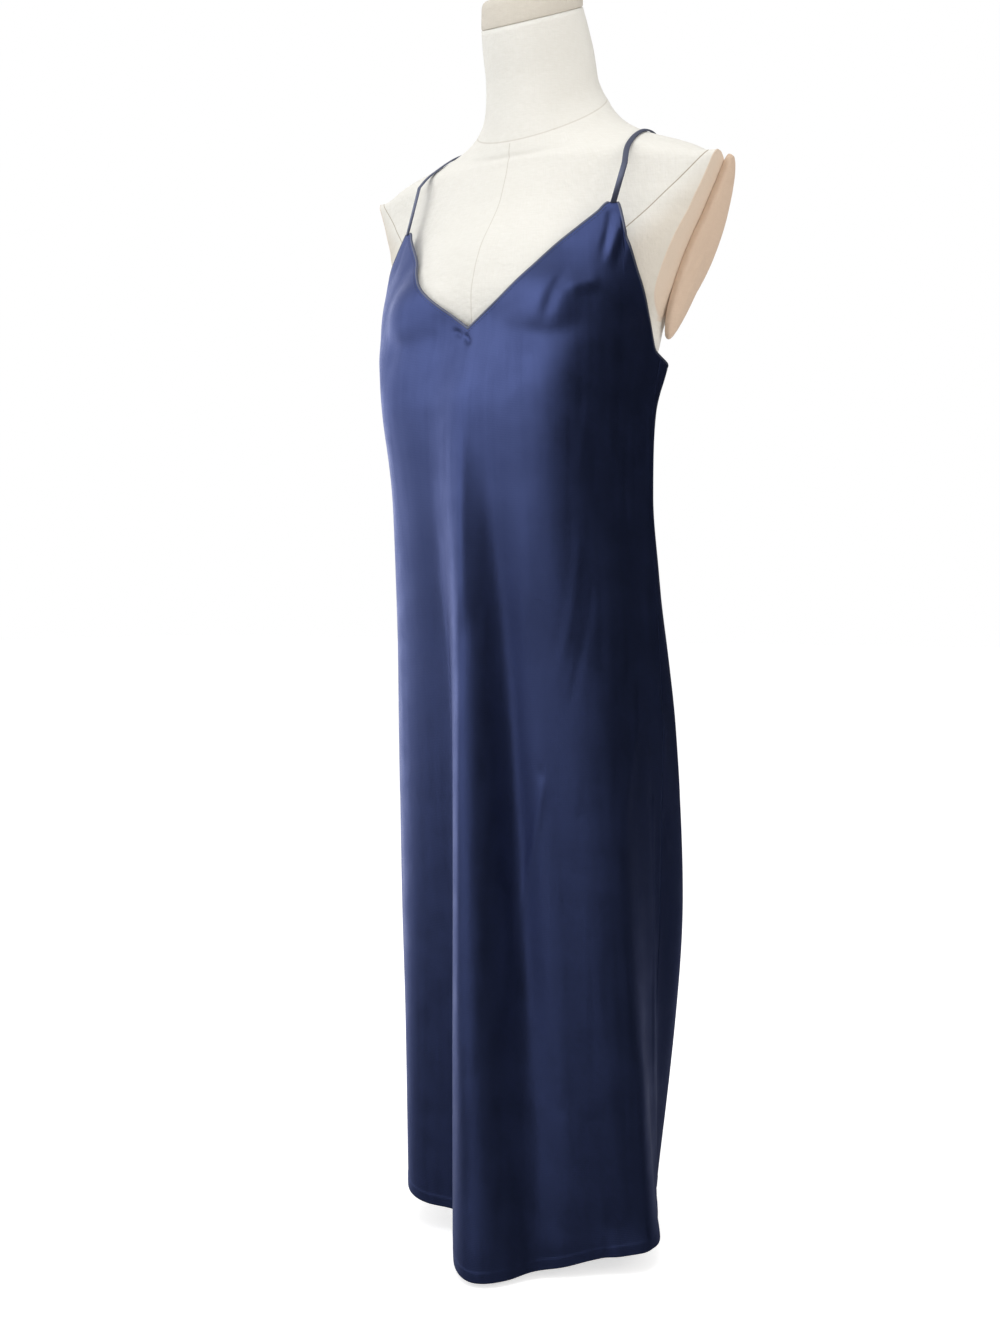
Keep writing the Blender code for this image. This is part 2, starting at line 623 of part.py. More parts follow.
def build_arm_plate(collection, name, outline, outward, material):
    """A domed oval plate on the rear of an arm stub's cut, with a tail below the cut."""
    rear = max(p.y for p in outline)
    placed = []
    for p in outline:
        down = max(0.0, ARM_PLATE_BEND - p.z) * (ARM_PLATE_STRETCH - 1.0)
        x = p.x - math.copysign(ARM_PLATE_TAIL_LEAN * down, p.x)
        y = rear + (p.y - rear) * ARM_PLATE_DEPTH_SHARE - ARM_PLATE_TAIL_FORWARD * down
        placed.append(Vector((x, y, p.z - down)))
    outline = placed
    centre = sum(outline, Vector()) / len(outline)
    thick = ARM_PLATE_THICKNESS
    profile = ((0.960, SEAM_GAP), (1.000, 0.25 * thick), (1.005, 0.60 * thick),
               (0.960, 0.88 * thick), (0.800, 1.05 * thick), (0.450, 1.18 * thick))
    rings = [[centre + (p - centre) * size + outward * rise for p in outline]
             for size, rise in profile]
    points, faces = ring_loft(rings, centre + outward * SEAM_GAP,
                              centre + outward * 1.22 * thick)
    return add_solid(collection, name, points, faces, material)


def build_neck_cap(collection, material):
    """A low cap on top of the neck."""
    row = FORM_RINGS[-1]
    rings = [form_ring(row, size=ring.size, rise=SEAM_GAP + ring.rise) for ring in CAP_RINGS]
    bottom = sum(rings[0], Vector()) / FORM_SEGMENTS
    top = sum(rings[-1], Vector()) / FORM_SEGMENTS + Vector((0.0, 0.0, 0.0004))
    points, faces = ring_loft(rings, bottom, top)
    return add_solid(collection, "form_neck_cap", points, faces, material)


def build_stand(collection, metal):
    """A flat round base plate and a pole with a collar below the torso."""
    base = turned_body(((BASE_RADIUS - BASE_ROUNDING, 0.0),
                        (BASE_RADIUS, BASE_ROUNDING),
                        (BASE_RADIUS, BASE_THICKNESS - BASE_ROUNDING),
                        (BASE_RADIUS - BASE_ROUNDING, BASE_THICKNESS)), ROUND_SEGMENTS)
    points, faces = ring_loft(base, Vector((0.0, 0.0, 0.0)), Vector((0.0, 0.0, BASE_THICKNESS)))
    add_solid(collection, "stand_base", points, faces, metal, smooth=False)
    foot = BASE_THICKNESS + SEAM_GAP
    head = FORM_RINGS[0].height - SEAM_GAP
    pole = turned_body(((POLE_RADIUS, foot),
                        (POLE_RADIUS, head - POLE_COLLAR_HEIGHT),
                        (POLE_COLLAR_RADIUS, head - POLE_COLLAR_HEIGHT + BASE_ROUNDING),
                        (POLE_COLLAR_RADIUS, head)), ROUND_SEGMENTS)
    points, faces = ring_loft(pole, Vector((0.0, 0.0, foot)), Vector((0.0, 0.0, head)))
    add_solid(collection, "stand_pole", points, faces, metal, smooth=False)


def main():
    """Build the dress, the form and the stand."""
    collection = start_scene("slip_dress")
    satin = finish_material("navy_satin", (0.030, 0.040, 0.110), 0.38)
    strap_satin = finish_material("strap_satin", (0.060, 0.070, 0.130), 0.45)
    linen = finish_material("cream_linen", (0.860, 0.820, 0.740), 0.85)
    metal = finish_material("painted_steel", (0.700, 0.690, 0.670), 0.45)
    _, outlines, surface = build_torso(collection, linen)
    for name, (outline, outward) in zip(("form_arm_plate_left", "form_arm_plate_right"), outlines):
        build_arm_plate(collection, name, outline, outward, linen)
    build_neck_cap(collection, linen)
    build_stand(collection, metal)
    cloth_panel(collection, "front_panel", front_angle, FRONT_COLUMNS, FRONT_ROWS, satin)
    cloth_panel(collection, "back_panel", back_angle, BACK_COLUMNS, BACK_ROWS, satin)
    build_strap(collection, "strap_left", 1, surface, strap_satin)
    build_strap(collection, "strap_right", -1, surface, strap_satin)


main()
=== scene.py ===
"""Looks of a navy satin slip dress that hangs on a limbless linen dress form.

World frame: metres, +Z up, the dress faces -Y and +X is its left side as worn.  Angles are in
degrees round the upright axis, from the centre front towards the wearer's left.
"""
import sys
import logging
import math
from dataclasses import dataclass, replace
from enum import Enum
from typing import Callable, Sequence

import bmesh
import bpy
import numpy as np
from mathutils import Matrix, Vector
from mathutils.bvhtree import BVHTree


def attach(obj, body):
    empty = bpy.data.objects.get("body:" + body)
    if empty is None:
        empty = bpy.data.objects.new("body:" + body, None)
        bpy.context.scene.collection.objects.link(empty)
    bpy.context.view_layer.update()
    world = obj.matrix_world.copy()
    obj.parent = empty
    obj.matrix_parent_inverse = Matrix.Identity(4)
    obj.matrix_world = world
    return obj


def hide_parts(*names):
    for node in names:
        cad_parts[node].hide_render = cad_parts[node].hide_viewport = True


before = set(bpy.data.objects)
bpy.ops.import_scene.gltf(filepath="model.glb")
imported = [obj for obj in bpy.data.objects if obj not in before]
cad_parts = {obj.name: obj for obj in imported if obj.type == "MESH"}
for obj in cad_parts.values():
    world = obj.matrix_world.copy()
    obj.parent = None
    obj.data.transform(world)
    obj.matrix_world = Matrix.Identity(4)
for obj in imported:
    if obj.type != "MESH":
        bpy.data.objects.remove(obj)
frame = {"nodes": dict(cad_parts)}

LOG = logging.getLogger("slip_dress")
Array = np.ndarray
Piece = bpy.types.Object
Material = bpy.types.Material
Socket = bpy.types.NodeSocket
Sockets = bpy.types.bpy_prop_collection
Tree = bpy.types.NodeTree
Triple = tuple[float, float, float]
Pair = tuple[float, float]


class Side(Enum):
    """A side of the body as worn."""

    LEFT = 1
    RIGHT = -1


# ------------------------------------------------------------------ tables and curves
@dataclass(frozen=True)
class SmoothTable:
    """Columns of numbers that run smoothly, with no overshoot, along the first column."""

    columns: tuple[str, ...]
    rows: tuple[tuple[float, ...], ...]

    def at(self, column: str, place: Array) -> Array:
        """Value of a column at places along the table.

        Args:
            column: Name of the column.
            place: Places along the first column.

        Returns:
            The values, in the shape of place.
        """
        data = np.array(self.rows)
        x, y = data[:, 0], data[:, self.columns.index(column)]
        step = np.diff(y) / np.diff(x)
        product, total = step[:-1] * step[1:], step[:-1] + step[1:]
        same_way = product > 0
        inner = np.where(same_way, 2 * product / np.where(same_way, total, 1.0), 0.0)
        slope = np.concatenate([step[:1], inner, step[-1:]])
        place = np.clip(place, x[0], x[-1])
        i = np.clip(np.searchsorted(x, place, side="right") - 1, 0, len(x) - 2)
        span = x[i + 1] - x[i]
        t = (place - x[i]) / span
        return ((2 * t ** 3 - 3 * t ** 2 + 1) * y[i] + (t ** 3 - 2 * t ** 2 + t) * span * slope[i]
                + (3 * t ** 2 - 2 * t ** 3) * y[i + 1] + (t ** 3 - t ** 2) * span * slope[i + 1])


def angle_between(angle: Array, centre: float | Array) -> Array:
    """Signed angle from centre to angle, within half a turn."""
    return (angle - centre + 180.0) % 360.0 - 180.0


def soft_bump(distance: Array, fall: float | Array, lead: float | Array) -> Array:
    """1 at distance 0, fading to 0 over fall on one side and over lead on the other."""
    return np.exp(-(distance / np.where(distance < 0, fall, lead)) ** 2)


def smooth_step(value: Array, low: float, high: float) -> Array:
    """0 below low and 1 above high, with a smooth rise between them."""
    t = np.clip((value - low) / (high - low), 0.0, 1.0)
    return t * t * (3 - 2 * t)


def round_axis(radius: Array, angle: Array) -> tuple[Array, Array]:
    """Places across and along the floor, at a distance from the axis."""
    turn = np.radians(angle)
    return radius * np.sin(turn), -radius * np.cos(turn)


def section_radius(table: SmoothTable, angle: Array, height: Array) -> Array:
    """Distance from the middle to the edge of a section that is a boxy ellipse.

    Args:
        table: Half width, depths and squareness of the front and the back, by height.
        angle: Angles from the front.
        height: Heights.

    Returns:
        The distances.
    """
    front = np.abs(angle_between(angle, 0.0)) < 90.0
    depth, square = (np.where(front, table.at(f"front{end}", height),
                              table.at(f"back{end}", height)) for end in ("", "_square"))
    across = np.abs(np.sin(np.radians(angle))) / table.at("half_width", height)
    along = np.abs(np.cos(np.radians(angle))) / depth
    return (across ** square + along ** square) ** (-1.0 / square)


# ------------------------------------------------------------------ the form's shape
FORM_RINGS = SmoothTable(
    ("height", "half_width", "front", "back", "middle", "tilt", "front_square", "back_square"), (
        (0.43, 0.05, 0.04, 0.038, 0, 0, 2, 2), (0.4315, 0.095, 0.068, 0.062, 0, 0, 2, 2),
        (0.44, 0.115, 0.083, 0.074, 0, 0, 2, 2), (0.46, 0.125, 0.091, 0.082, 0, 0, 2, 2),
        (0.5, 0.13, 0.095, 0.086, 0, 0, 2, 2), (0.55, 0.126, 0.095, 0.08, 0, 0, 2, 2),
        (0.6, 0.118, 0.094, 0.07, 0, 0, 2, 2), (0.67, 0.106, 0.092, 0.056, 0, 0, 2, 2),
        (0.72, 0.101, 0.091, 0.051, 0, 0, 2, 2), (0.77, 0.105, 0.095, 0.051, 0, 0, 2, 2),
        (0.82, 0.115, 0.101, 0.057, 0, 0, 2, 2), (0.86, 0.128, 0.115, 0.064, 0.002, 0, 1.9, 2),
        (0.885, 0.1338, 0.12, 0.069, 0.003, 0, 1.85, 2),
        (0.91, 0.154, 0.1225, 0.0715, 0.005, 0, 1.65, 2),
        (0.93, 0.173, 0.1215, 0.072, 0.009, 0, 1.5, 1.95),
        (0.949, 0.188, 0.1165, 0.071, 0.0115, 0, 1.45, 1.95),
        (0.977, 0.2, 0.099, 0.071, 0.0125, 0, 1.45, 1.9),
        (1, 0.203, 0.08, 0.0725, 0.0085, 0, 1.5, 1.85),
        (1.02, 0.202, 0.067, 0.0745, 0.0025, 0.02, 1.5, 1.85),
        (1.034, 0.199, 0.056, 0.077, -0.004, 0.06, 1.5, 1.9),
        (1.043, 0.183, 0.052, 0.076, -0.0065, 0.14, 1.55, 1.95),
        (1.053, 0.151, 0.0495, 0.074, -0.008, 0.24, 1.65, 2),
        (1.062, 0.119, 0.05, 0.068, -0.005, 0.34, 1.75, 2),
        (1.072, 0.095, 0.054, 0.063, -0.002, 0.43, 1.85, 2),
        (1.084, 0.078, 0.0575, 0.058, 0.002, 0.52, 1.95, 2),
        (1.096, 0.067, 0.058, 0.056, 0.004, 0.58, 2, 2),
        (1.106, 0.0605, 0.0575, 0.054, 0.004, 0.6, 2, 2),
        (1.118, 0.0565, 0.055, 0.052, 0.003, 0.58, 2, 2),
        (1.143, 0.054, 0.053, 0.051, 0, 0.52, 2, 2),
        (1.17, 0.052, 0.051, 0.05, -0.009, 0.46, 2, 2),
        (1.188, 0.05, 0.0495, 0.0485, -0.015, 0.42, 2, 2),
    ))


@dataclass(frozen=True)
class FormShape:
    """Sizes of the limbless form, as rings from its underside to the top of its neck."""

    rings: SmoothTable = FORM_RINGS
    bust_angle: float = 37.0
    bust_height: float = 0.880
    bust_depth: float = 0.0300
    bust_spread: float = 19.0
    bust_rise: float = 0.060
    bust_fall: float = 0.045
    rounds: int = 5

    def bust(self, angle: Array, height: Array) -> Array:
        """How far the busts stand out of the plain section."""
        reach = np.where(height > self.bust_height, self.bust_rise, self.bust_fall)
        level = np.exp(-((height - self.bust_height) / reach) ** 2)
        spread = self.bust_spread
        return self.bust_depth * level * sum(
            soft_bump(angle_between(angle, side.value * self.bust_angle), spread, spread)
            for side in Side)

    def radius(self, angle: Array, height: Array) -> Array:
        """Distance from the axis to the form, where its rings are level."""
        middle = self.rings.at("middle", height)
        radius = section_radius(self.rings, angle, height)
        for _ in range(self.rounds):
            x, y = round_axis(radius, angle)
            seen = np.degrees(np.arctan2(x, -(y - middle)))
            radius = radius * section_radius(self.rings, seen, height) / np.hypot(x, y - middle)
        return radius + self.bust(angle, height)

    def ring(self, height: float, segments: int, size: float = 1.0, rise: float = 0.0) -> Array:
        """Points of one ring, tilted with the neck.

        Args:
            height: Height of the ring in the table.
            segments: Number of points.
            size: Share of the ring's size.
            rise: Extra height.

        Returns:
            An array of points, one a row.
        """
        angle = np.arange(segments) * 360.0 / segments
        level = np.full(segments, height)
        radius = size * section_radius(self.rings, angle, level) + self.bust(angle, level)
        x, y = round_axis(radius, angle)
        middle, tilt = self.rings.at("middle", level), self.rings.at("tilt", level)
        return np.stack([x, middle + y, height + rise + tilt * y], axis=1)


# ------------------------------------------------------------------ the dress's shape
@dataclass(frozen=True)
class Fold:
    """A long fold of the skirt, from its start down to the hem."""

    name: str
    start_height: float
    start_angle: float
    hem_angle: float
    fall: float
    lead: float
    middle_depth: float
    hem_depth: float
    hem: float = 0.0310
    start_width: float = 0.50

    def offset(self, angle: Array, height: Array) -> Array:
        """How far the fold moves the skirt out."""
        share = np.clip((self.start_height - height) / (self.start_height - self.hem), 0.0, None)
        centre = self.start_angle + (self.hem_angle - self.start_angle) * share
        spread = self.start_width + (1.0 - self.start_width) * share
        growth = SmoothTable(("share", "depth"), (
            (0.0, 0.0), (0.5, self.middle_depth), (1.0, self.hem_depth)))
        return growth.at("depth", share) * soft_bump(
            angle_between(angle, centre), self.fall * spread, self.lead * spread)


@dataclass(frozen=True)
class Swell:
    """A place where the cloth stands off, or sinks in if its depth is negative."""

    name: str
    angle: float
    width: float
    height: float
    reach: float
    depth: float

    def offset(self, angle: Array, height: Array) -> Array:
        """How far the swell moves the cloth out."""
        level = np.exp(-((height - self.height) / self.reach) ** 2)
        return self.depth * level * soft_bump(
            angle_between(angle, self.angle), self.width, self.width)


@dataclass(frozen=True)
class Crease:
    """A crease along a curve through three places; a positive depth is a ridge.

    A place is an angle and a height.  The radius turns angles into lengths.
    """

    name: str
    start: Pair
    middle: Pair
    end: Pair
    width: float
    depth: float
    start_fade: float = 0.35
    end_fade: float = 0.35
    radius: float = 0.130
    steps: int = 28
    reach: float = 4.0

    def offset(self, angle: Array, height: Array) -> Array:
        """How far the crease moves the cloth out."""
        scale = math.radians(1.0) * self.radius
        ends = np.array([self.start, self.middle, self.end]) * (scale, 1.0)
        bend = 2 * ends[1] - 0.5 * (ends[0] + ends[2])
        t = np.linspace(0.0, 1.0, self.steps + 1)[:, None]
        line = (1 - t) ** 2 * ends[0] + 2 * t * (1 - t) * bend + t ** 2 * ends[2]
        x = self.start[0] * scale + angle_between(angle, self.start[0]) * scale
        reach = self.reach * self.width
        low, high = line.min(axis=0) - reach, line.max(axis=0) + reach
        near = (x > low[0]) & (x < high[0]) & (height > low[1]) & (height < high[1])
        total = np.zeros_like(height)
        if not near.any():
            return total
        place = np.stack([x[near], height[near]], axis=1)
        best, along = np.full(len(place), np.inf), np.zeros(len(place))
        for k in range(self.steps):
            first, way = line[k], line[k + 1] - line[k]
            share = np.clip(((place - first) @ way) / (way @ way), 0.0, 1.0)
            apart = np.hypot(*(place - first - share[:, None] * way).T)
            closer = apart < best
            best = np.where(closer, apart, best)
            along = np.where(closer, (k + share) / self.steps, along)
        fade = (smooth_step(along, 0.0, self.start_fade)
                * smooth_step(1.0 - along, 0.0, self.end_fade))
        total[near] = self.depth * np.exp(-(best / self.width) ** 2) * fade
        return total


SECTIONS = SmoothTable(
    ("height", "half_width", "front", "back", "front_square", "back_square"), (
        (0, 0.133, 0.109, 0.1, 2.2, 2), (0.12, 0.137, 0.11, 0.102, 2.3, 2),
        (0.22, 0.139, 0.111, 0.102, 2.4, 2), (0.32, 0.141, 0.112, 0.102, 2.5, 2),
        (0.42, 0.14, 0.114, 0.101, 2.6, 2), (0.5, 0.138, 0.116, 0.098, 2.7, 2),
        (0.57, 0.135, 0.119, 0.09, 2.8, 2), (0.645, 0.131, 0.126, 0.073, 2.9, 2),
        (0.72, 0.127, 0.133, 0.058, 3.1, 2), (0.8, 0.127, 0.136, 0.057, 3.5, 2),
        (0.85, 0.133, 0.128, 0.066, 3.6, 2), (0.88, 0.135, 0.119, 0.071, 3.4, 2),
        (0.92, 0.142, 0.108, 0.074, 2.9, 2), (0.96, 0.156, 0.093, 0.074, 2.6, 2),
        (1, 0.165, 0.078, 0.074, 2.4, 2),
    ))
TOP_EDGE = SmoothTable(("angle", "height"), (
    (0, 0.8735), (7.5, 0.885), (17, 0.9), (28, 0.922), (39, 0.9455), (51, 0.9672),
    (56, 0.9768), (59.8, 0.985), (62.6, 0.985), (64.3, 0.9575), (66.8, 0.9405), (72.9, 0.91),
    (80.5, 0.883), (87, 0.8545), (102, 0.844), (118, 0.838), (145, 0.836), (180, 0.834)))
HEM_EDGE = SmoothTable(("angle", "height"), (
    (-180, 0.031), (-120, 0.033), (-75, 0.039), (-52, 0.0395), (-45, 0.035), (-38, 0.03),
    (-31, 0.0272), (-24, 0.026), (-8, 0.019), (8, 0.008), (16, 0.005), (24, 0.0052),
    (30, 0.0076), (38, 0.0096), (48, 0.0155), (58, 0.019), (70, 0.0214), (80, 0.024),
    (92, 0.031), (120, 0.033), (180, 0.031)))
FOLDS = (
    Fold("centre flute", 0.86, 1.5, 17.8, 16.5, 15.5, 0.045, 0.086),
    Fold("front valley", 0.81, 14.0, 36.0, 9.0, 9.0, -0.006, 0.0),
    Fold("left side flute", 0.68, 60.0, 69.0, 29.0, 13.5, 0.013, 0.045),
    Fold("left seam valley", 0.52, 84.0, 102.0, 6.0, 14.0, -0.006, -0.01),
    Fold("left back flute", 0.62, 110.0, 112.0, 15.0, 17.0, 0.012, -0.004),
    Fold("middle back flute", 0.66, 172.0, 166.0, 20.0, 18.0, 0.02, 0.044),
    Fold("right back flute", 0.64, -128.0, -132.0, 17.0, 19.0, 0.014, 0.032),
    Fold("right side valley", 0.56, -88.0, -92.0, 10.0, 12.0, -0.005, -0.008),
    Fold("right front lobe", 0.74, -42.0, -38.0, 13.0, 17.0, 0.004, 0.012),
    Fold("right front valley", 0.82, -14.0, -8.0, 17.0, 6.0, -0.006, -0.017),
    Fold("front fullness", 0.56, 33.0, 43.0, 13.0, 12.0, 0.008, 0.02),
)
SWELLS = (
    Swell("left underarm", 105.0, 9.0, 0.85, 0.055, 0.01),
    Swell("right underarm", -105.0, 9.0, 0.85, 0.055, 0.007),
    Swell("right bust", -50.0, 20.0, 0.906, 0.055, 0.011),
    Swell("left hem corner", 80.0, 14.0, 0.015, 0.03, 0.006),
    Swell("right under bust", -38.0, 16.0, 0.82, 0.06, 0.006),
    Swell("right waist", -62.0, 14.0, 0.8, 0.05, -0.004),
    Swell("right armhole", -68.0, 12.0, 0.92, 0.045, 0.005),
    Swell("front hip", 39.5, 11.0, 0.64, 0.1, 0.003),
)
CREASES = tuple(Crease(*row) for row in (
    ("centre flute edge, upper", (2.6, 0.82), (4, 0.7), (4.6, 0.58), 0.0052, 0.0019, 0.4, 0.2),
    ("centre flute edge, lower", (4, 0.6), (6.4, 0.36), (9.6, 0.13), 0.0048, 0.0012, 0.2, 0.4),
    ("beside the centre flute", (-9, 0.68), (-13, 0.52), (-17, 0.33), 0.008, -0.001, 0.4, 0.5),
    ("front band", (27, 0.735), (27.9, 0.62), (30, 0.5), 0.0095, 0.0015, 0.35, 0.5),
    ("right cup underside", (-38, 0.848), (-26, 0.848), (-13, 0.856), 0.02, 0.003, 0.4, 0.4),
    ("left bust hollow", (46, 0.929), (37.5, 0.899), (34.5, 0.864), 0.0055, -0.0024),
    ("left bust ridge", (41, 0.902), (48.5, 0.908), (56, 0.913), 0.007, 0.0022),
    ("left strap pull, inner", (60.8, 0.98), (58.2, 0.952), (54.5, 0.924),
     0.0034, -0.0018, 0.15, 0.5),
    ("left strap pull, middle", (61.8, 0.966), (59.6, 0.944), (57, 0.92),
     0.0032, 0.0014, 0.2, 0.5),
    ("left strap pull, outer", (64.6, 0.956), (63, 0.938), (60.4, 0.914),
     0.0034, -0.0018, 0.1, 0.5),
    ("right strap pull, inner", (-60.6, 0.98), (-57.6, 0.956), (-53.8, 0.93),
     0.0036, -0.0009, 0.15, 0.5),
    ("right strap pull, outer", (-63.2, 0.96), (-61, 0.94), (-58, 0.918),
     0.0034, 0.0009, 0.15, 0.5),
    ("dimple right of the V", (-8.4, 0.8735), (-5, 0.8695), (-2, 0.868),
     0.0028, -0.0024, 0.3, 0.3),
    ("dimple below the V", (-2, 0.869), (0.2, 0.863), (2.6, 0.856), 0.003, -0.0028, 0.3, 0.4),
    ("left of the V, below the edge", (9, 0.878), (18, 0.886), (28, 0.904),
     0.008, -0.0008, 0.3, 0.6),
    ("right of the V, below the edge", (-22, 0.893), (-15, 0.883), (-9, 0.874),
     0.006, -0.0007, 0.5, 0.4),
    ("left waist streak, front", (52, 0.83), (48.3, 0.766), (45.4, 0.704),
     0.005, 0.0007, 0.4, 0.6),
    ("left waist streak, side", (55, 0.824), (63.5, 0.748), (76.5, 0.674),
     0.005, 0.0008, 0.4, 0.6),
    ("right waist streak", (-40, 0.82), (-44, 0.75), (-46, 0.67), 0.006, -0.0008, 0.5, 0.6),
    ("front drag", (48.8, 0.74), (45.2, 0.62), (36.5, 0.525), 0.0048, 0.0007, 0.35, 0.5),
    ("front drag, side", (54, 0.67), (49, 0.58), (40.5, 0.49), 0.0044, -0.0007, 0.4, 0.55),
    ("left hem kick", (54, 0.008), (61, 0.012), (67.5, 0.01), 0.025, 0.0048, 0.3, 0.3),
    ("front thigh streak", (35.8, 0.47), (29.6, 0.385), (23.4, 0.3), 0.004, 0.001, 0.2, 0.5),
    ("front thigh nick", (30.8, 0.464), (33.3, 0.46), (36.2, 0.456), 0.003, -0.0007, 0.25, 0.35),
    ("lower front nick", (34.6, 0.151), (38.6, 0.153), (42.8, 0.152), 0.0034, -0.0007, 0.3, 0.3),
    ("left hip streak", (77.4, 0.54), (68.2, 0.456), (60.6, 0.364), 0.006, 0.0011, 0.35, 0.55),
    ("left hip drag", (84.6, 0.554), (89.4, 0.506), (94.8, 0.454), 0.004, 0.0013, 0.2, 0.5),
    ("beside the left seam", (84.8, 0.46), (84.5, 0.3), (84.5, 0.12), 0.0026, 0.0008, 0.2, 0.3),
    ("left seam pucker, upper", (91, 0.418), (93, 0.408), (95.4, 0.401), 0.0036, -0.0009),
    ("left seam pucker, lower", (91.2, 0.392), (93.6, 0.384), (96, 0.38), 0.0036, 0.0008),
    ("lower left streak", (72, 0.25), (69, 0.17), (66, 0.09), 0.006, 0.0009, 0.45, 0.45),
    ("right hip drag", (-86, 0.56), (-79, 0.5), (-70, 0.43), 0.005, 0.001, 0.3, 0.6),
    ("right skirt streak", (-62, 0.36), (-66, 0.25), (-70, 0.14), 0.006, -0.001, 0.5, 0.5),
    ("below the left underarm", (98, 0.828), (112, 0.8), (128, 0.786),
     0.006, -0.0009, 0.25, 0.6),
    ("below the right underarm", (-97, 0.826), (-110, 0.794), (-127, 0.776),
     0.006, -0.0009, 0.25, 0.6),
    ("back waist, upper", (146, 0.756), (168, 0.744), (198, 0.752), 0.008, 0.0013, 0.4, 0.5),
    ("back waist, lower", (158, 0.714), (184, 0.702), (214, 0.716), 0.008, 0.0012, 0.4, 0.5),
    ("back strap pull, left", (129.5, 0.834), (134, 0.812), (141, 0.788),
     0.0044, -0.001, 0.15, 0.6),
    ("back strap pull, right", (230.5, 0.834), (226, 0.81), (219, 0.784),
     0.0044, -0.001, 0.15, 0.6),
    ("back thigh streak, left", (150, 0.52), (143, 0.4), (139, 0.28), 0.006, 0.0011, 0.4, 0.55),
    ("back thigh streak, right", (206, 0.5), (214, 0.37), (219, 0.25),
     0.006, -0.0011, 0.4, 0.55),
    ("lower back nick", (176, 0.2), (182, 0.204), (188, 0.202), 0.0036, -0.0008),
))


@dataclass(frozen=True)
class DressShape:
    """Sizes of the dress as it hangs on the form."""

    form: FormShape
    sections: SmoothTable = SECTIONS
    top_edge: SmoothTable = TOP_EDGE
    hem_edge: SmoothTable = HEM_EDGE
    folds: tuple[Fold, ...] = FOLDS
    swells: tuple[Swell, ...] = SWELLS
    creases: tuple[Crease, ...] = CREASES
    skirt_turn: float = -3.0
    wall: float = 0.0012
    clearance: float = 0.0021
    least_clearance: float = 0.0006
    resting_blend: float = 0.0070
    strap_tip: Pair = (59.8, 62.6)
    normal_step: Pair = (0.4, 0.002)

    def lift(self, angle: Array, height: Array, gap: float) -> Array:
        """Wall and gap above the form, measured along the radius where it is oblique."""
        here, rise = self.form.radius(angle, height), self.normal_step[1]
        around = (self.form.radius(angle + 1.0, height) - here) / math.radians(1.0) / here
        upward = (self.form.radius(angle, height + rise) - here) / rise
        return here + (self.wall + gap) * np.sqrt(1.0 + around ** 2 + upward ** 2)

    def radius(self, angle: Array, height: Array) -> Array:
        """Radius of the outer face: as it hangs, but never inside the form."""
        turned = angle - self.skirt_turn
        hanging = section_radius(self.sections, turned, height)
        for fullness in self.folds + self.swells:
            hanging = hanging + fullness.offset(turned, height)
        resting = self.lift(angle, height, self.clearance)
        apart = np.hypot(hanging - resting, self.resting_blend)
        radius = 0.5 * (hanging + resting + apart)
        creased = radius + sum((c.offset(angle, height) for c in self.creases),
                               np.zeros_like(height))
        return np.maximum(creased, self.lift(angle, height, self.least_clearance))

    def points(self, angle: Array, height: Array, out: float | Array = 0.0) -> Array:
        """Points of the outer face, moved out along the radius by out."""
        x, y = round_axis(self.radius(angle, height) + out, angle)
        return np.stack([x, y, height], axis=-1)

    def normals(self, angle: Array, height: Array) -> Array:
        """Outward directions of the outer face."""
        turn, rise = self.normal_step
        around = self.points(angle + turn, height) - self.points(angle - turn, height)
        upward = self.points(angle, height + rise) - self.points(angle, height - rise)
        normal = np.cross(around, upward)
        return normal / np.linalg.norm(normal, axis=-1, keepdims=True)

    def top_height(self, angle: Array) -> Array:
        """Height of the top edge."""
        return self.top_edge.at("height", np.abs(angle_between(angle, 0.0)))

    def hem_height(self, angle: Array) -> Array:
        """Height of the hem, which dips at the centre flute."""
        return self.hem_edge.at("height", angle_between(angle, 0.0))


# ------------------------------------------------------------------ mesh making
def link(name: str, data: bpy.types.ID) -> Piece:
    """A new object in the scene."""
    piece = bpy.data.objects.new(name, data)
    bpy.context.scene.collection.objects.link(piece)
    return piece


def plain_mesh(name: str, points: Sequence, faces: Sequence, material: Material | None = None,
               edges: Sequence = ()) -> Piece:
    """A mesh object, just as its points and faces say."""
    mesh = bpy.data.meshes.new(name)
    mesh.from_pydata([tuple(map(float, p)) for p in points], edges, faces)
    if material:
        mesh.materials.append(material)
    return link(name, mesh)


def polar_uv(points: Array, radius: float = 0.13) -> Array:
    """Flat places round the axis, in metres."""
    turn = np.arctan2(points[:, 0], -points[:, 1])
    return np.stack([turn * radius, points[:, 2]], axis=1)


def set_uv(piece: Piece, place: Callable[[Array], Array]) -> None:
    """Give a piece a UV map from its points.

    Args:
        piece: The piece.
        place: Turns an array of points into an array of flat places, in metres.
    """
    mesh = piece.data
    points = np.empty(len(mesh.vertices) * 3, np.float32)
    mesh.vertices.foreach_get("co", points)
    corner = np.empty(len(mesh.loops), np.int32)
    mesh.loops.foreach_get("vertex_index", corner)
    flat = place(points.reshape(-1, 3).astype(float))
    layer = mesh.uv_layers.new(name="weave")
    layer.data.foreach_set("uv", flat[corner].astype(np.float32).ravel())


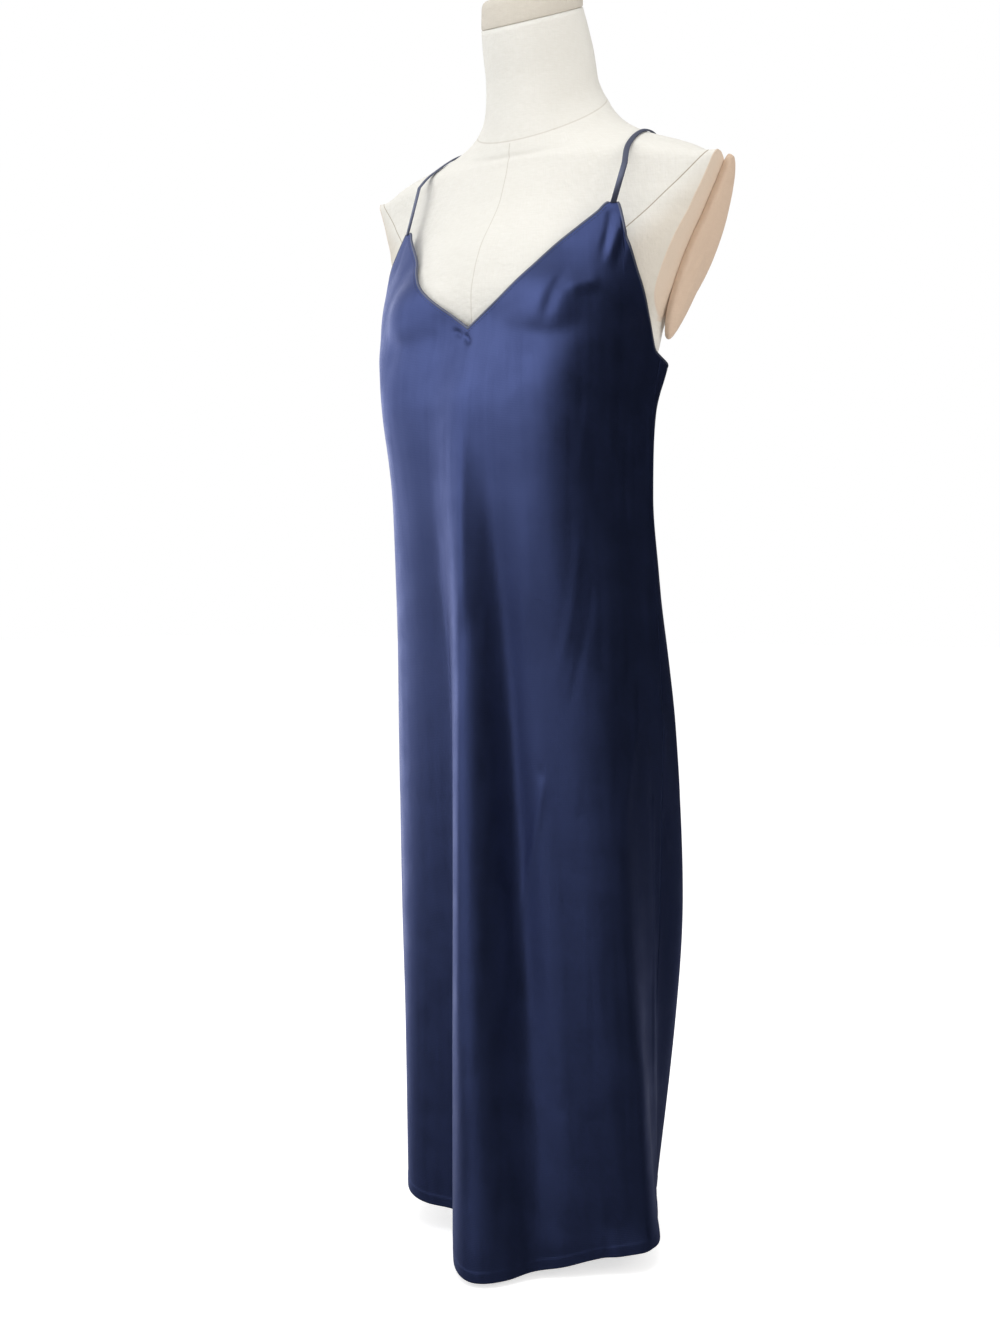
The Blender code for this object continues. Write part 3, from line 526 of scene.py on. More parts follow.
def make_piece(name: str, points: Sequence, faces: Sequence, material: Material,
               uv: Callable[[Array], Array] | None = polar_uv) -> Piece:
    """A smooth piece with its faces turned outwards.

    Args:
        name: Name of the piece.
        points: Its points.
        faces: Its faces, as tuples of point numbers.
        material: Its finish.
        uv: What makes its flat places, if it gets them here.

    Returns:
        The new piece, linked to the scene.
    """
    piece = plain_mesh(name, points, faces, material)
    work = bmesh.new()
    work.from_mesh(piece.data)
    bmesh.ops.recalc_face_normals(work, faces=work.faces)
    for face in work.faces:
        face.smooth = True
    work.to_mesh(piece.data)
    work.free()
    if uv:
        set_uv(piece, uv)
    return piece


def ring_loft(rings: Sequence, bottom: Sequence, top: Sequence) -> tuple[list, list]:
    """Points and faces of a body through closed rings, closed at both ends by a point."""
    count = len(rings[0])
    points = [bottom] + [p for ring in rings for p in ring] + [top]
    faces = []
    for i in range(count):
        after = (i + 1) % count
        faces.append((0, 1 + after, 1 + i))
        for level in range(len(rings) - 1):
            here, above = 1 + level * count, 1 + (level + 1) * count
            faces.append((here + i, here + after, above + after, above + i))
        last = 1 + (len(rings) - 1) * count
        faces.append((last + i, last + after, len(points) - 1))
    return points, faces


def sweep(path: Sequence[tuple[Vector, Vector]], outline: Sequence[Pair],
          level_ends: bool = False) -> tuple[list, list]:
    """Points and faces of a closed outline carried along a path.

    Args:
        path: Pairs of a point and the outward direction there.
        outline: Places across and outwards, in metres.
        level_ends: Whether the two ends are cut level.

    Returns:
        Points and faces of the closed body.
    """
    rings = []
    for i, (point, outward) in enumerate(path):
        ahead = path[min(i + 1, len(path) - 1)][0] - path[max(i - 1, 0)][0]
        if level_ends and i in (0, len(path) - 1):
            ahead = Vector((0.0, 0.0, 1.0 if i == 0 else -1.0))
        across = ahead.cross(outward).normalized()
        up = across.cross(ahead).normalized()
        rings.append([point + across * a + up * b for a, b in outline])
    middles = [sum(rings[k], Vector()) / len(outline) for k in (0, -1)]
    return ring_loft(rings, *middles)


def oval(half_width: float, half_thick: float, segments: int, squareness: float = 2.0) -> list:
    """Places round a boxy oval."""
    places = []
    for k in range(segments):
        across, out = math.cos(2 * math.pi * k / segments), math.sin(2 * math.pi * k / segments)
        size = (abs(across) ** squareness + abs(out) ** squareness) ** (-1 / squareness)
        places.append((half_width * size * across, half_thick * size * out))
    return places


def put_in_place(piece: Piece, node: str | None = None) -> Piece:
    """Fix a piece to the part, and report it.

    Args:
        piece: The piece.
        node: The solid that it stands for, if there is one.

    Returns:
        The same piece.
    """
    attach(piece, "root")
    if node:
        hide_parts(node)
    LOG.info("%s: %d faces", piece.name, len(piece.data.polygons))
    return piece


# ------------------------------------------------------------------ node trees
class NodeMaker:
    """Builds one node tree: a finish, a shared effect or a maker of stitches."""

    def __init__(self, tree: Tree) -> None:
        """Work on a tree."""
        self.tree = tree

    def feed(self, node: bpy.types.Node, inputs: dict) -> None:
        """Set a node's inputs by name or number, or link other sockets to them."""
        for name, value in inputs.items():
            socket = node.inputs[name]
            if isinstance(value, Socket):
                self.tree.links.new(value, socket)
            else:
                socket.default_value = (*value, 1.0) if socket.type == "RGBA" else value

    def add(self, kind: str, inputs: dict | None = None, **settings: object) -> bpy.types.Node:
        """Add a node.

        Args:
            kind: The node's type.
            inputs: Values or sockets for its inputs, by name or number.
            settings: Its properties.

        Returns:
            The node.
        """
        node = self.tree.nodes.new(kind)
        for name, value in settings.items():
            setattr(node, name, value)
        self.feed(node, inputs or {})
        return node

    def get(self, kind: str, inputs: dict | None = None, **settings: object) -> Socket:
        """Add a node and give its first output."""
        return self.add(kind, inputs, **settings).outputs[0]

    def spot(self) -> Socket:
        """The place on the object."""
        return self.add("ShaderNodeTexCoord").outputs["Object"]

    def sum(self, operation: str, first: object, second: object = 0.0) -> Socket:
        """The result of a sum on numbers."""
        return self.get("ShaderNodeMath", {0: first, 1: second}, operation=operation)

    def vector(self, operation: str, first: object, second: object) -> Socket:
        """The result of a sum on vectors."""
        node = self.add("ShaderNodeVectorMath", {0: first, 1: second}, operation=operation)
        return node.outputs["Value" if operation == "DOT_PRODUCT" else "Vector"]

    def ramp(self, value: object, low: object, high: object, to_low: float = 0.0,
             to_high: float = 1.0) -> Socket:
        """A value carried smoothly from one range to another."""
        return self.get("ShaderNodeMapRange", {
            "Value": value, "From Min": low, "From Max": high, "To Min": to_low,
            "To Max": to_high}, interpolation_type="SMOOTHSTEP")

    def mix(self, share: object, first: object, second: object) -> Socket:
        """A colour between two others."""
        return self.add("ShaderNodeMix", {0: share, 6: first, 7: second},
                        data_type="RGBA").outputs[2]

    def bump(self, strength: float, distance: float, height: Socket) -> Socket:
        """A normal that a height tilts."""
        return self.get("ShaderNodeBump", {
            "Strength": strength, "Distance": distance, "Height": height})

    def noise(self, place: Socket, scale: float = 1.0, detail: float = 2.0,
              distortion: float = 0.0) -> Socket:
        """Cloudy noise."""
        return self.get("ShaderNodeTexNoise", {
            "Vector": place, "Scale": scale, "Detail": detail, "Distortion": distortion})

    def group(self, tree: Tree, inputs: dict) -> Sockets:
        """Put a shared effect into the tree and give its outputs."""
        return self.add("ShaderNodeGroup", inputs, node_tree=tree).outputs


def add_socket(tree: Tree, name: str, kind: str, value: float | None = None,
               way: str = "INPUT") -> None:
    """Give a node group a named socket, with a starting value if it has one."""
    socket = tree.interface.new_socket(name, in_out=way, socket_type=f"NodeSocket{kind}")
    if value is not None:
        socket.default_value = value


class Effects:
    """Node groups for the effects that several finishes share, each built once."""

    def __init__(self) -> None:
        """Build every group."""
        self.weave, self.streaks, self.seam = self._weave(), self._streaks(), self._seam()

    @staticmethod
    def _start(name: str, ins: dict[str, float | None],
               outs: Sequence[str]) -> tuple[NodeMaker, Sockets, bpy.types.Node]:
        """A new group with named sockets.

        Args:
            name: Name of the group.
            ins: Inputs and their starting values; a vector has none.
            outs: Names of the number outputs.

        Returns:
            The builder, the group's inputs and its output node.
        """
        tree = bpy.data.node_groups.new(name, "ShaderNodeTree")
        for label, value in ins.items():
            add_socket(tree, label, "Vector" if value is None else "Float", value)
        for label in outs:
            add_socket(tree, label, "Float", way="OUTPUT")
        s = NodeMaker(tree)
        return s, s.add("NodeGroupInput").outputs, s.add("NodeGroupOutput")

    def _weave(self) -> Tree:
        """Threads that cross at right angles, with uneven thickness."""
        s, ins, out = self._start("Thread Weave", {
            "Place": None, "Threads per Metre": 1500.0, "Float": 1.0, "Unevenness": 0.4},
            ("Height", "Slub"))
        split = s.add("ShaderNodeSeparateXYZ", {0: ins["Place"]}).outputs
        turn = s.sum("MULTIPLY", ins["Threads per Metre"], math.pi)
        warp = s.sum("SINE", s.sum("MULTIPLY", split[0], turn))
        weft = s.sum("SINE", s.sum("MULTIPLY", split[1], s.sum("DIVIDE", turn, ins["Float"])))
        cross = s.sum("ABSOLUTE", s.sum("MULTIPLY", warp, weft))
        noise = [s.noise(s.vector("MULTIPLY", ins["Place"], way))
                 for way in ((60.0, 900.0, 1.0), (900.0, 60.0, 1.0))]
        slub = s.sum("MULTIPLY", s.sum("ADD", *noise), 0.5)
        uneven = s.sum("MULTIPLY", slub, ins["Unevenness"])
        s.feed(out, {"Height": s.sum("ADD", cross, uneven), "Slub": slub})
        return s.tree

    def _streaks(self) -> Tree:
        """Long soft streaks and cloudy patches."""
        s, ins, out = self._start("Cloth Streaks", {
            "Place": None, "Across": 160.0, "Along": 9.0, "Patches": 12.0},
            ("Streak", "Patch"))
        way = s.get("ShaderNodeCombineXYZ", {0: ins["Across"], 1: ins["Along"], 2: 1.0})
        s.feed(out, {
            "Streak": s.noise(s.vector("MULTIPLY", ins["Place"], way), 1.0, 3.0, 0.6),
            "Patch": s.noise(ins["Place"], ins["Patches"], 4.0)})
        return s.tree

    def _seam(self) -> Tree:
        """A sewn line, or a wide band of painted shade, where a plane cuts the surface, on one
        side of a second plane.
        """
        s, ins, out = self._start("Seam Line or Painted Shade", {
            "Place": None, "Point": None, "Across": None, "Limit Point": None,
            "Limit Way": None, "Half Width": 0.0006}, ("Line", "Hollow"))
        apart, past = (
            s.vector("DOT_PRODUCT", s.vector("SUBTRACT", ins["Place"], ins[point]), ins[way])
            for point, way in (("Point", "Across"), ("Limit Point", "Limit Way")))
        apart, allowed = s.sum("ABSOLUTE", apart), s.sum("GREATER_THAN", past, 0.0)
        inner, edge, hollow = (s.sum("MULTIPLY", ins["Half Width"], share)
                               for share in (0.4, 1.3, 5.0))
        s.feed(out, {
            "Line": s.sum("MULTIPLY", s.ramp(apart, inner, edge, 1.0, 0.0), allowed),
            "Hollow": s.sum("MULTIPLY", s.ramp(apart, 0.0, hollow, 1.0, 0.0), allowed)})
        return s.tree


# ------------------------------------------------------------------ finishes
@dataclass(frozen=True)
class Finish:
    """A material made in code."""

    name: str

    def inputs(self, s: NodeMaker, effects: Effects) -> dict:
        """Values and sockets for the main shader's inputs."""
        raise NotImplementedError

    def build(self, effects: Effects) -> Material:
        """Make the material.

        Args:
            effects: The shared node groups.

        Returns:
            The material.
        """
        material = bpy.data.materials.new(self.name)
        material.use_nodes = True
        s = NodeMaker(material.node_tree)
        s.feed(s.tree.nodes["Principled BSDF"], self.inputs(s, effects))
        return material


@dataclass(frozen=True)
class SatinFinish(Finish):
    """Woven satin: a dark body colour under a broad tinted shine."""

    body: Triple = (0.0028, 0.0044, 0.0100)
    shine: Triple = (0.30, 0.40, 1.0)
    roughness: float = 0.48
    ior: float = 2.15
    threads: float = 2600.0
    thread_float: float = 4.0
    body_range: Pair = (0.75, 1.35)
    slub_shine: Pair = (-0.035, 0.035)
    cloud_shine: Pair = (-0.04, 0.05)
    cloud_depth: float = 3.0
    slub_depth: float = 3.2
    bump: Pair = (0.15, 0.0006)

    def inputs(self, s: NodeMaker, effects: Effects) -> dict:
        """Slubs and clouds vary the colour, the shine and the surface."""
        place, spot = s.get("ShaderNodeUVMap", uv_map="weave"), s.spot()
        weave = s.group(effects.weave, {"Place": place, "Threads per Metre": self.threads,
                                        "Float": self.thread_float, "Unevenness": 0.8})
        slubs = s.group(effects.streaks, {"Place": place})["Streak"]
        clouds = s.group(effects.streaks, {
            "Place": spot, "Across": 22.0, "Along": 22.0, "Patches": 30.0})["Patch"]
        dark, light = (tuple(c * share for c in self.body) for share in self.body_range)
        uneven = s.sum("ADD", s.ramp(slubs, 0.25, 0.75, *self.slub_shine),
                       s.ramp(clouds, 0.3, 0.7, *self.cloud_shine))
        height = s.sum("ADD", weave["Height"], s.sum("MULTIPLY", clouds, self.cloud_depth))
        height = s.sum("ADD", height, s.sum("MULTIPLY", slubs, self.slub_depth))
        return {"Base Color": s.mix(slubs, dark, light), "IOR": self.ior,
                "Roughness": s.sum("ADD", uneven, self.roughness),
                "Normal": s.bump(*self.bump, height),
                "Specular IOR Level": 1.0, "Specular Tint": self.shine}


@dataclass(frozen=True)
class SeamOrShadePlane:
    """A sewn line or a band of painted shade on the form: a plane, and a second plane that ends
    it.
    """

    name: str
    point: Triple
    across: Triple
    limit_point: Triple
    limit_way: Triple
    half_width: float = 0.0006
    depth: float = 0.45
    hollow: float = 4.0
    colour: Triple = (0.42, 0.36, 0.28)

    def both(self) -> tuple["SeamOrShadePlane", "SeamOrShadePlane"]:
        """This one, on the left, and its mirror image on the right."""
        point, across = ((-v[0], *v[1:]) for v in (self.point, self.across))
        name = self.name.replace("left", "right")
        return self, replace(self, name=name, point=point, across=across)


# The two arm bands are painted shade over the front of each arm stub, between the armhole line
# and the flat cut; the other planes are sewn lines.
FORM_SEAMS_AND_SHADE = (
    *SeamOrShadePlane("left arm piece", (0.1550, -0.0443, 0.9358), (0.679, 0.186, -0.710),
               (0.0, 0.0, 0.8), (0.0, 0.0, 1.0), 0.034, 0.75, 0.0, (0.66, 0.60, 0.51)).both(),
    *SeamOrShadePlane("left arm end", (0.1890, 0.0, 1.0150), (0.922, 0.0, -0.387), (0.0, 0.0, 0.8842),
               (0.0, 0.0, 1.0), 0.0008, 1.0, 0.0, (0.72, 0.59, 0.47)).both(),
    SeamOrShadePlane("middle", (0.0, 0.0, 0.0), (1.0, 0.0, 0.0),
              (0.0, -0.0550, 1.0590), (0.0, 0.3, -1.0), depth=0.34),
    SeamOrShadePlane("neck base", (0.0, 0.0, 1.0940), (0.0, -0.5145, 0.8575),
              (0.0, 0.0, 0.5), (0.0, 0.0, 1.0), depth=0.30),
    *SeamOrShadePlane("left armhole", (0.1278, -0.0517, 0.9642), (0.679, 0.186, -0.710),
               (0.0, -0.0060, 0.0), (0.0, -1.0, 0.0), depth=0.95).both(),
)


@dataclass(frozen=True)
class LinenFinish(Finish):
    """Plain-woven linen stretched over the form, with sewn lines and bands of painted shade."""

    colour: Triple
    shade: Triple
    seams_and_shade: tuple[SeamOrShadePlane, ...] = ()
    roughness: float = 0.88
    threads: float = 900.0
    crumple: float = 18.0
    slub_tones: Pair = (0.55, 1.0)
    cloud_tones: Pair = (0.0, 0.18)
    bump: Pair = (0.22, 0.0004)

    def inputs(self, s: NodeMaker, effects: Effects) -> dict:
        """Slubs and clouds tone the linen, sewn lines are sunk into it, and bands of painted
        shade darken it.
        """
        place, spot = s.get("ShaderNodeUVMap", uv_map="weave"), s.spot()
        weave = s.group(effects.weave, {"Place": place, "Threads per Metre": self.threads,
                                        "Float": 1.0, "Unevenness": 1.5})
        clouds, crumple = (
            s.group(effects.streaks, {"Place": spot, "Across": across, "Along": across,
                                      "Patches": patches})["Patch"]
            for across, patches in ((14.0, 18.0), (240.0, 150.0)))
        slubs = s.ramp(weave["Slub"], 0.30, 0.70, *self.slub_tones)
        tone = s.mix(slubs, self.shade, self.colour)
        tone = s.mix(s.ramp(clouds, 0.3, 0.75, *self.cloud_tones), tone, self.shade)
        height = s.sum("ADD", weave["Height"], s.sum("MULTIPLY", crumple, self.crumple))
        for seam in self.seams_and_shade:
            line = s.group(effects.seam, {
                "Place": spot, "Point": seam.point, "Across": seam.across,
                "Limit Point": seam.limit_point, "Limit Way": seam.limit_way,
                "Half Width": seam.half_width})
            # A sewn line darkens a narrow line; an arm band darkens a wide band as painted shade.
            tone = s.mix(s.sum("MULTIPLY", line["Line"], seam.depth), tone, seam.colour)
            height = s.sum("SUBTRACT", height, s.sum("MULTIPLY", line["Hollow"], seam.hollow))
        return {"Base Color": tone, "Normal": s.bump(*self.bump, height),
                "Roughness": self.roughness, "Specular IOR Level": 0.2, "Sheen Weight": 0.08}


@dataclass(frozen=True)
class ThreadFinish(Finish):
    """Twisted sewing thread."""

    colour: Triple = (0.012, 0.016, 0.042)
    highlight: Triple = (0.045, 0.055, 0.110)
    roughness: float = 0.55
    bump: Pair = (0.4, 0.0001)

    def inputs(self, s: NodeMaker, effects: Effects) -> dict:
        """The twist shows in the colour and the surface."""
        twist = s.group(effects.streaks, {"Place": s.spot(), "Across": 1800.0,
                                          "Along": 1800.0, "Patches": 400.0})["Streak"]
        return {"Base Color": s.mix(s.ramp(twist, 0.35, 0.65), self.colour, self.highlight),
                "Normal": s.bump(*self.bump, twist), "Roughness": self.roughness}


@dataclass(frozen=True)
class PaintFinish(Finish):
    """Powder paint on steel, a little dusty."""

    colour: Triple = (0.70, 0.69, 0.67)
    dust: Triple = (0.45, 0.43, 0.40)
    roughness: float = 0.45
    grain: float = 900.0
    bump: Pair = (0.12, 0.0003)

    def inputs(self, s: NodeMaker, effects: Effects) -> dict:
        """Dust dulls the paint, and a fine grain roughens it."""
        spot = s.spot()
        dust = s.ramp(s.group(effects.streaks, {"Place": spot, "Patches": 25.0})["Patch"],
                      0.45, 0.75, 0.0, 0.25)
        return {"Base Color": s.mix(dust, self.colour, self.dust),
                "Roughness": s.sum("ADD", self.roughness, s.sum("MULTIPLY", dust, 0.8)),
                "Normal": s.bump(*self.bump, s.noise(spot, self.grain))}


@dataclass(frozen=True)
class FloorFinish(Finish):
    """A pale floor that keeps only a soft shadow."""

    colour: Triple = (0.93, 0.93, 0.93)
    shade: Triple = (0.90, 0.90, 0.90)
    glow: float = 0.62

    def inputs(self, s: NodeMaker, effects: Effects) -> dict:
        """A faint cloud, and a glow that only the camera sees."""
        cloud = s.noise(s.spot(), 3.0)
        seen = s.add("ShaderNodeLightPath").outputs["Is Camera Ray"]
        return {"Base Color": s.mix(s.ramp(cloud, 0.3, 0.7, 0.0, 0.2), self.colour, self.shade),
                "Roughness": 0.9, "Specular IOR Level": 0.1, "Emission Color": (1.0, 1.0, 1.0),
                "Emission Strength": s.sum("MULTIPLY", seen, self.glow)}


FINISHES = (
    SatinFinish("navy satin"),
    SatinFinish("strap satin", (0.030, 0.034, 0.050), (0.55, 0.60, 0.85), 0.5),
    LinenFinish("cream linen", (0.84, 0.825, 0.775), (0.75, 0.73, 0.66), FORM_SEAMS_AND_SHADE),
    # The cap's linen is beige, and darker still as painted shade.
    LinenFinish("cap linen with painted shade", (0.68, 0.635, 0.555), (0.60, 0.55, 0.47)),
    # The plates' linen is tan, and darker still as painted shade.
    LinenFinish("plate linen with painted shade", (0.69, 0.53, 0.405), (0.63, 0.47, 0.345)),
    ThreadFinish("navy thread"),
    PaintFinish("stand paint"),
    FloorFinish("pale floor"),
)


# ------------------------------------------------------------------ stitches
class StitchMaker:
    """A Geometry Nodes tree that lays stitches along a line on the cloth."""

    SIZES = {"Spacing": 0.0034, "Stitch Length": 0.0026, "Thread Width": 0.0004,
             "Unevenness": 0.12}
    SEED = 7

    def __init__(self) -> None:
        """Build the tree."""
        self.tree = bpy.data.node_groups.new("Stitch Line", "GeometryNodeTree")
        add_socket(self.tree, "Geometry", "Geometry")
        for name, value in self.SIZES.items():
            add_socket(self.tree, name, "Float", value)
        add_socket(self.tree, "Thread", "Material")
        add_socket(self.tree, "Geometry", "Geometry", way="OUTPUT")
        s = NodeMaker(self.tree)
        ins = s.add("NodeGroupInput").outputs
        line = s.get("GeometryNodeMeshToCurve", {"Mesh": ins["Geometry"]})
        even = s.get("GeometryNodeResampleCurve", {"Curve": line, "Length": ins["Spacing"]},
                     mode="LENGTH")
        ball = s.get("GeometryNodeMeshUVSphere", {"Segments": 6, "Rings": 5, "Radius": 0.5})
        size = s.get("ShaderNodeCombineXYZ", {
            0: ins["Stitch Length"], 1: ins["Thread Width"], 2: ins["Thread Width"]})
        stitch = s.get("GeometryNodeTransform", {"Geometry": ball, "Scale": size})
        outward = s.get("GeometryNodeInputNamedAttribute", {"Name": "outward"},
                        data_type="FLOAT_VECTOR")
        along = s.get("FunctionNodeAlignRotationToVector",
                      {"Vector": s.get("GeometryNodeInputTangent")}, axis="X")
        turned = s.get("FunctionNodeAlignRotationToVector",
                       {"Rotation": along, "Vector": outward}, axis="Z", pivot_axis="X")
        chance = s.add("FunctionNodeRandomValue", {
            "Seed": self.SEED, 2: s.sum("SUBTRACT", 1.0, ins["Unevenness"]),
            3: s.sum("ADD", 1.0, ins["Unevenness"])}, data_type="FLOAT")
        placed = s.get("GeometryNodeInstanceOnPoints", {
            "Points": even, "Instance": stitch, "Rotation": turned, "Scale": chance.outputs[1]})
        real = s.get("GeometryNodeRealizeInstances", {0: placed})
        done = s.get("GeometryNodeSetMaterial", {"Geometry": real, "Material": ins["Thread"]})
        s.add("NodeGroupOutput", {0: done})

    def lay(self, name: str, points: Array, outward: Array, thread: Material) -> Piece:
        """Stitches along a line, as a plain mesh.

        Args:
            name: Name of the piece.
            points: Points of the line.
            outward: The cloth's outward direction at each point.
            thread: The thread's finish.

        Returns:
            The piece.
        """
        guide = plain_mesh(f"{name} line", points, (),
                           edges=[(k, k + 1) for k in range(len(points) - 1)])
        held = guide.data.attributes.new("outward", "FLOAT_VECTOR", "POINT")
        held.data.foreach_set("vector", outward.astype(np.float32).ravel())
        modifier = guide.modifiers.new("stitches", "NODES")
        modifier.node_group = self.tree
        sockets = {item.name: item.identifier for item in self.tree.interface.items_tree
                   if item.in_out == "INPUT"}
        modifier[sockets["Thread"]] = thread
        evaluated = guide.evaluated_get(bpy.context.evaluated_depsgraph_get())
        mesh = bpy.data.meshes.new_from_object(evaluated)
        guide.modifiers.remove(modifier)
        bpy.data.objects.remove(guide, do_unlink=True)
        mesh.name = name
        for face in mesh.polygons:
            face.use_smooth = True
        return link(name, mesh)


@dataclass(frozen=True)
class StitchRun:
    """One line of stitches beside the hem, or else beside the top edge."""

    name: str
    start: float
    end: float
    at_hem: bool
    inset: float
    steps: int = 400
    proud: float = 0.00005

    def build(self, shape: DressShape, maker: StitchMaker, thread: Material) -> Piece:
        """Lay the stitches on the cloth's outer face."""
        angle = np.linspace(self.start, self.end, self.steps)
        height = (shape.hem_height(angle) + self.inset if self.at_hem
                  else shape.top_height(angle) - self.inset)
        normal = shape.normals(angle, height)
        points = shape.points(angle, height) + normal * self.proud
        return put_in_place(maker.lay(self.name, points, normal, thread))


# ------------------------------------------------------------------ the dress's pieces
@dataclass(frozen=True)
class Edging:
    """A narrow rolled edge along the top of a panel."""

    name: str
    start: float
    end: float
    steps: int
    half_width: float = 0.0014
    half_thick: float = 0.0010
    segments: int = 10
    sink: float = 0.3

    def build(self, shape: DressShape, finish: Material) -> Piece:
        """Make the edging along the top edge."""
        angle = np.linspace(self.start, self.end, self.steps)
        height = shape.top_height(angle) - self.sink * self.half_width
        normal = shape.normals(angle, height)
        point = shape.points(angle, height) - normal * 0.5 * shape.wall
        path = [(Vector(p), Vector(n)) for p, n in zip(point, normal)]
        outline = oval(self.half_width, self.half_thick, self.segments)
        return put_in_place(make_piece(self.name, *sweep(path, outline), finish))


@dataclass(frozen=True)
class Panel:
    """One cut piece of the dress, between the top edge and the hem.

    A run is a start and an end angle with the number of columns between them.
    """

    name: str
    node: str
    runs: tuple[tuple[float, float, int], ...]
    flat: Pair
    area: float
    edgings: tuple[Edging, ...]
    stitching: tuple[StitchRun, ...]
    rows: int = 168
    row_spread: float = 1.35
    body_end: float = 0.004
    hem_rows: tuple[float, ...] = (0.0118, 0.0102, 0.0092, 0.0080, 0.0045, 0.0012, 0.0)
    hem_lift: float = 0.0004
    hem_step: Pair = (0.0090, 0.0106)
    seam_gap: float = 0.0003

    def grid(self, shape: DressShape) -> tuple[Array, Array]:
        """Angles and heights of all the points of a face.

        Args:
            shape: Sizes of the dress.

        Returns:
            Two arrays with a row for each column of the panel.
        """
        runs = [np.linspace(*run, endpoint=False) for run in self.runs]
        angle = np.concatenate(runs + [np.array([self.runs[-1][1]])])
        top, hem = shape.top_height(angle), shape.hem_height(angle)
        share = np.linspace(0.0, 1.0, self.rows) ** self.row_spread
        low = hem + self.hem_rows[0] + self.body_end
        body = top[:, None] + (low - top)[:, None] * share[None, :]
        foot = hem[:, None] + np.array(self.hem_rows)[None, :]
        height = np.concatenate([body, foot], axis=1)
        column = np.repeat(angle[:, None], height.shape[1], axis=1)
        for way, i in ((1, 0), (-1, -1)):
            radius = shape.radius(column[i], height[i])
            column[i] = column[i] + way * np.degrees(0.5 * self.seam_gap / radius)
        return column, height

    def build(self, shape: DressShape, finish: Material) -> Piece:
        """Make the panel as a thin closed wall with a turned hem.

        Args:
            shape: Sizes of the dress.
            finish: Its material.

        Returns:
            The piece.
        """
        angle, height = self.grid(shape)
        above_hem = height - shape.hem_height(angle)
        band = self.hem_lift * (1.0 - smooth_step(above_hem, *self.hem_step))
        outer = shape.points(angle, height, band)
        inner = outer - shape.normals(angle, height) * (shape.wall + band[..., None])
        number = np.arange(angle.size).reshape(angle.shape)
        back = angle.size
        quads = np.stack([number[:-1, :-1], number[:-1, 1:], number[1:, 1:], number[1:, :-1]],
                         axis=-1).reshape(-1, 4).tolist()
        faces = [tuple(f) for f in quads]
        faces += [tuple(back + k for k in reversed(f)) for f in quads]
        for rim in (number[:, 0], number[:, -1][::-1], number[0][::-1], number[-1]):
            rim = rim.tolist()
            faces += [(p, q, back + q, back + p) for p, q in zip(rim, rim[1:])]
        points = np.concatenate([outer.reshape(-1, 3), inner.reshape(-1, 3)])
        return make_piece(self.name, points, faces, finish)

    def dress(self, piece: Piece, trims: Sequence[Piece]) -> None:
        """Put the panel in its place in the part."""
        put_in_place(piece, self.node)


FRONT = Panel(
    "front_panel_satin", "front_panel", (
        (-90.0, -62.6, 22), (-62.6, -59.8, 3), (-59.8, 0.0, 70), (0.0, 59.8, 100),
        (59.8, 62.6, 3), (62.6, 90.0, 40)), (0.54, 1.00), 0.43,
    (Edging("neck_edging", -59.8, 59.8, 241), Edging("armhole_edging_left", 62.6, 90.0, 80),
     Edging("armhole_edging_right", -62.6, -90.0, 80)),
    (StitchRun("hem_stitches_front", -89.4, 89.4, True, 0.0088),
     StitchRun("neck_stitches", -58.6, 58.6, False, 0.0042)))
BACK = Panel(
    "back_panel_satin", "back_panel", (
        (90.0, 135.0, 50), (135.0, 200.0, 66), (200.0, 270.0, 62)), (0.44, 0.83), 0.31,
    (Edging("back_edging", 90.0, 270.0, 181),),
    (StitchRun("hem_stitches_back", 90.6, 269.4, True, 0.0088),
     StitchRun("back_edge_stitches", 91.0, 269.0, False, 0.0042)))


